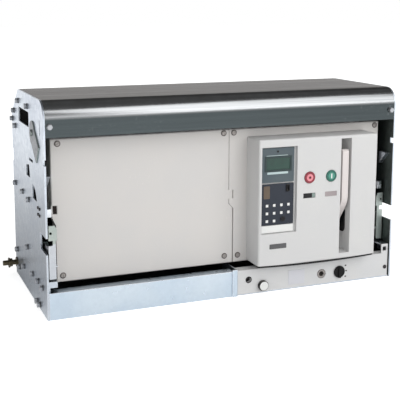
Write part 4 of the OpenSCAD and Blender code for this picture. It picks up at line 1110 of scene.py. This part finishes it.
def studio():
    """Soft fill, and for seen and mirrored rays a white sweep under a dim ceiling."""
    world = bpy.data.worlds.new("studio")
    bpy.context.scene.world = world
    world.use_nodes = True
    tree = world.node_tree
    tree.nodes.clear()
    up = coordinate(tree, tree.nodes.new("ShaderNodeTexCoord").outputs["Generated"], 2)
    sweep = put(tree, "ShaderNodeBackground", Color=WHITE,
                Strength=fade(tree, up, SWEEP_END, CEILING_START, 1.0, CEILING))
    fill = put(tree, "ShaderNodeBackground", Color=WHITE, Strength=fade(tree, up, 0.0, 1.0, *FILL))
    ray = tree.nodes.new("ShaderNodeLightPath").outputs
    seen = calc(tree, "MAXIMUM", ray["Is Camera Ray"], mirrored_ray(tree, ray))
    blend = put(tree, "ShaderNodeMixShader", Fac=seen)
    feed(tree, blend.inputs[1], fill.outputs[0])
    feed(tree, blend.inputs[2], sweep.outputs[0])
    put(tree, "ShaderNodeOutputWorld", Surface=blend.outputs[0])


FLOOR_SIDE, FLOOR_BELOW = 40, 0.4 * MM
FLOOR_GREY = (0.82, 0.82, 0.82, 1.0)
# Distances from the middle between which the floor's own white grows, and that white
GLOW_BETWEEN, GLOW = (0.6, 2.4), (0.65, 0.75)
# Share of that white that is mirrored: by depth ahead of the object, and by distance from the middle;
# the low share near the object is painted shade in what the metal mirrors
AHEAD_BETWEEN, MIRRORED_AHEAD = (-0.25, 0.1), 0.85
BEHIND_BETWEEN, MIRRORED_BEHIND = (0.5, 2.3), 0.8


def floor():
    """Pale floor that turns white away from the object and keeps its shadow."""
    deselect()
    bpy.ops.mesh.primitive_plane_add(size=FLOOR_SIDE, location=(0, 0, -FLOOR_BELOW))
    ground = settle()
    ground.name = "floor"
    tree, shader, place = new_finish("pale_floor")
    away = put(tree, "ShaderNodeVectorMath", {"operation": "LENGTH"})
    feed(tree, away.inputs[0], place)
    distance = away.outputs["Value"]
    white = fade(tree, distance, *GLOW_BETWEEN, *GLOW)
    # Painted shade: near the object, beside and behind it, the floor's white is not mirrored
    shown = calc(tree, "MAXIMUM",
                 fade(tree, coordinate(tree, place, 1), *AHEAD_BETWEEN, MIRRORED_AHEAD, 0.0),
                 fade(tree, distance, *BEHIND_BETWEEN, 0.0, MIRRORED_BEHIND))
    ray = tree.nodes.new("ShaderNodeLightPath").outputs
    mirrored = calc(tree, "MULTIPLY", mirrored_ray(tree, ray), shown)
    seen = calc(tree, "MAXIMUM", ray["Is Camera Ray"], mirrored)
    wire(tree, shader, Base_Color=FLOOR_GREY, Roughness=0.9, Specular_IOR_Level=0.0,
         Emission_Color=WHITE, Emission_Strength=calc(tree, "MULTIPLY", seen, white))
    ground.data.materials.append(FINISH["pale_floor"])


for slot, (width, nodes) in ROUNDED.items():
    for node in nodes:
        rounded_copy(node, width, slot)
plate_bolts()
hood_bolts()
cover_screws()
screen_bezel()
display_bars()
display_lamp()
keypad_details()
button_faces()
state_flag_patch()
name_plate()
panel_marks()
panel_lock()
lower_edge_shade_strip()
handle_well_shade_pad()
lock_notch_shade_pads()

bpy.context.scene.view_settings.view_transform = "Standard"
camera()
studio()
floor()
softbox("key", **KEY_LAMP)
softbox("front", **FRONT_LAMP)
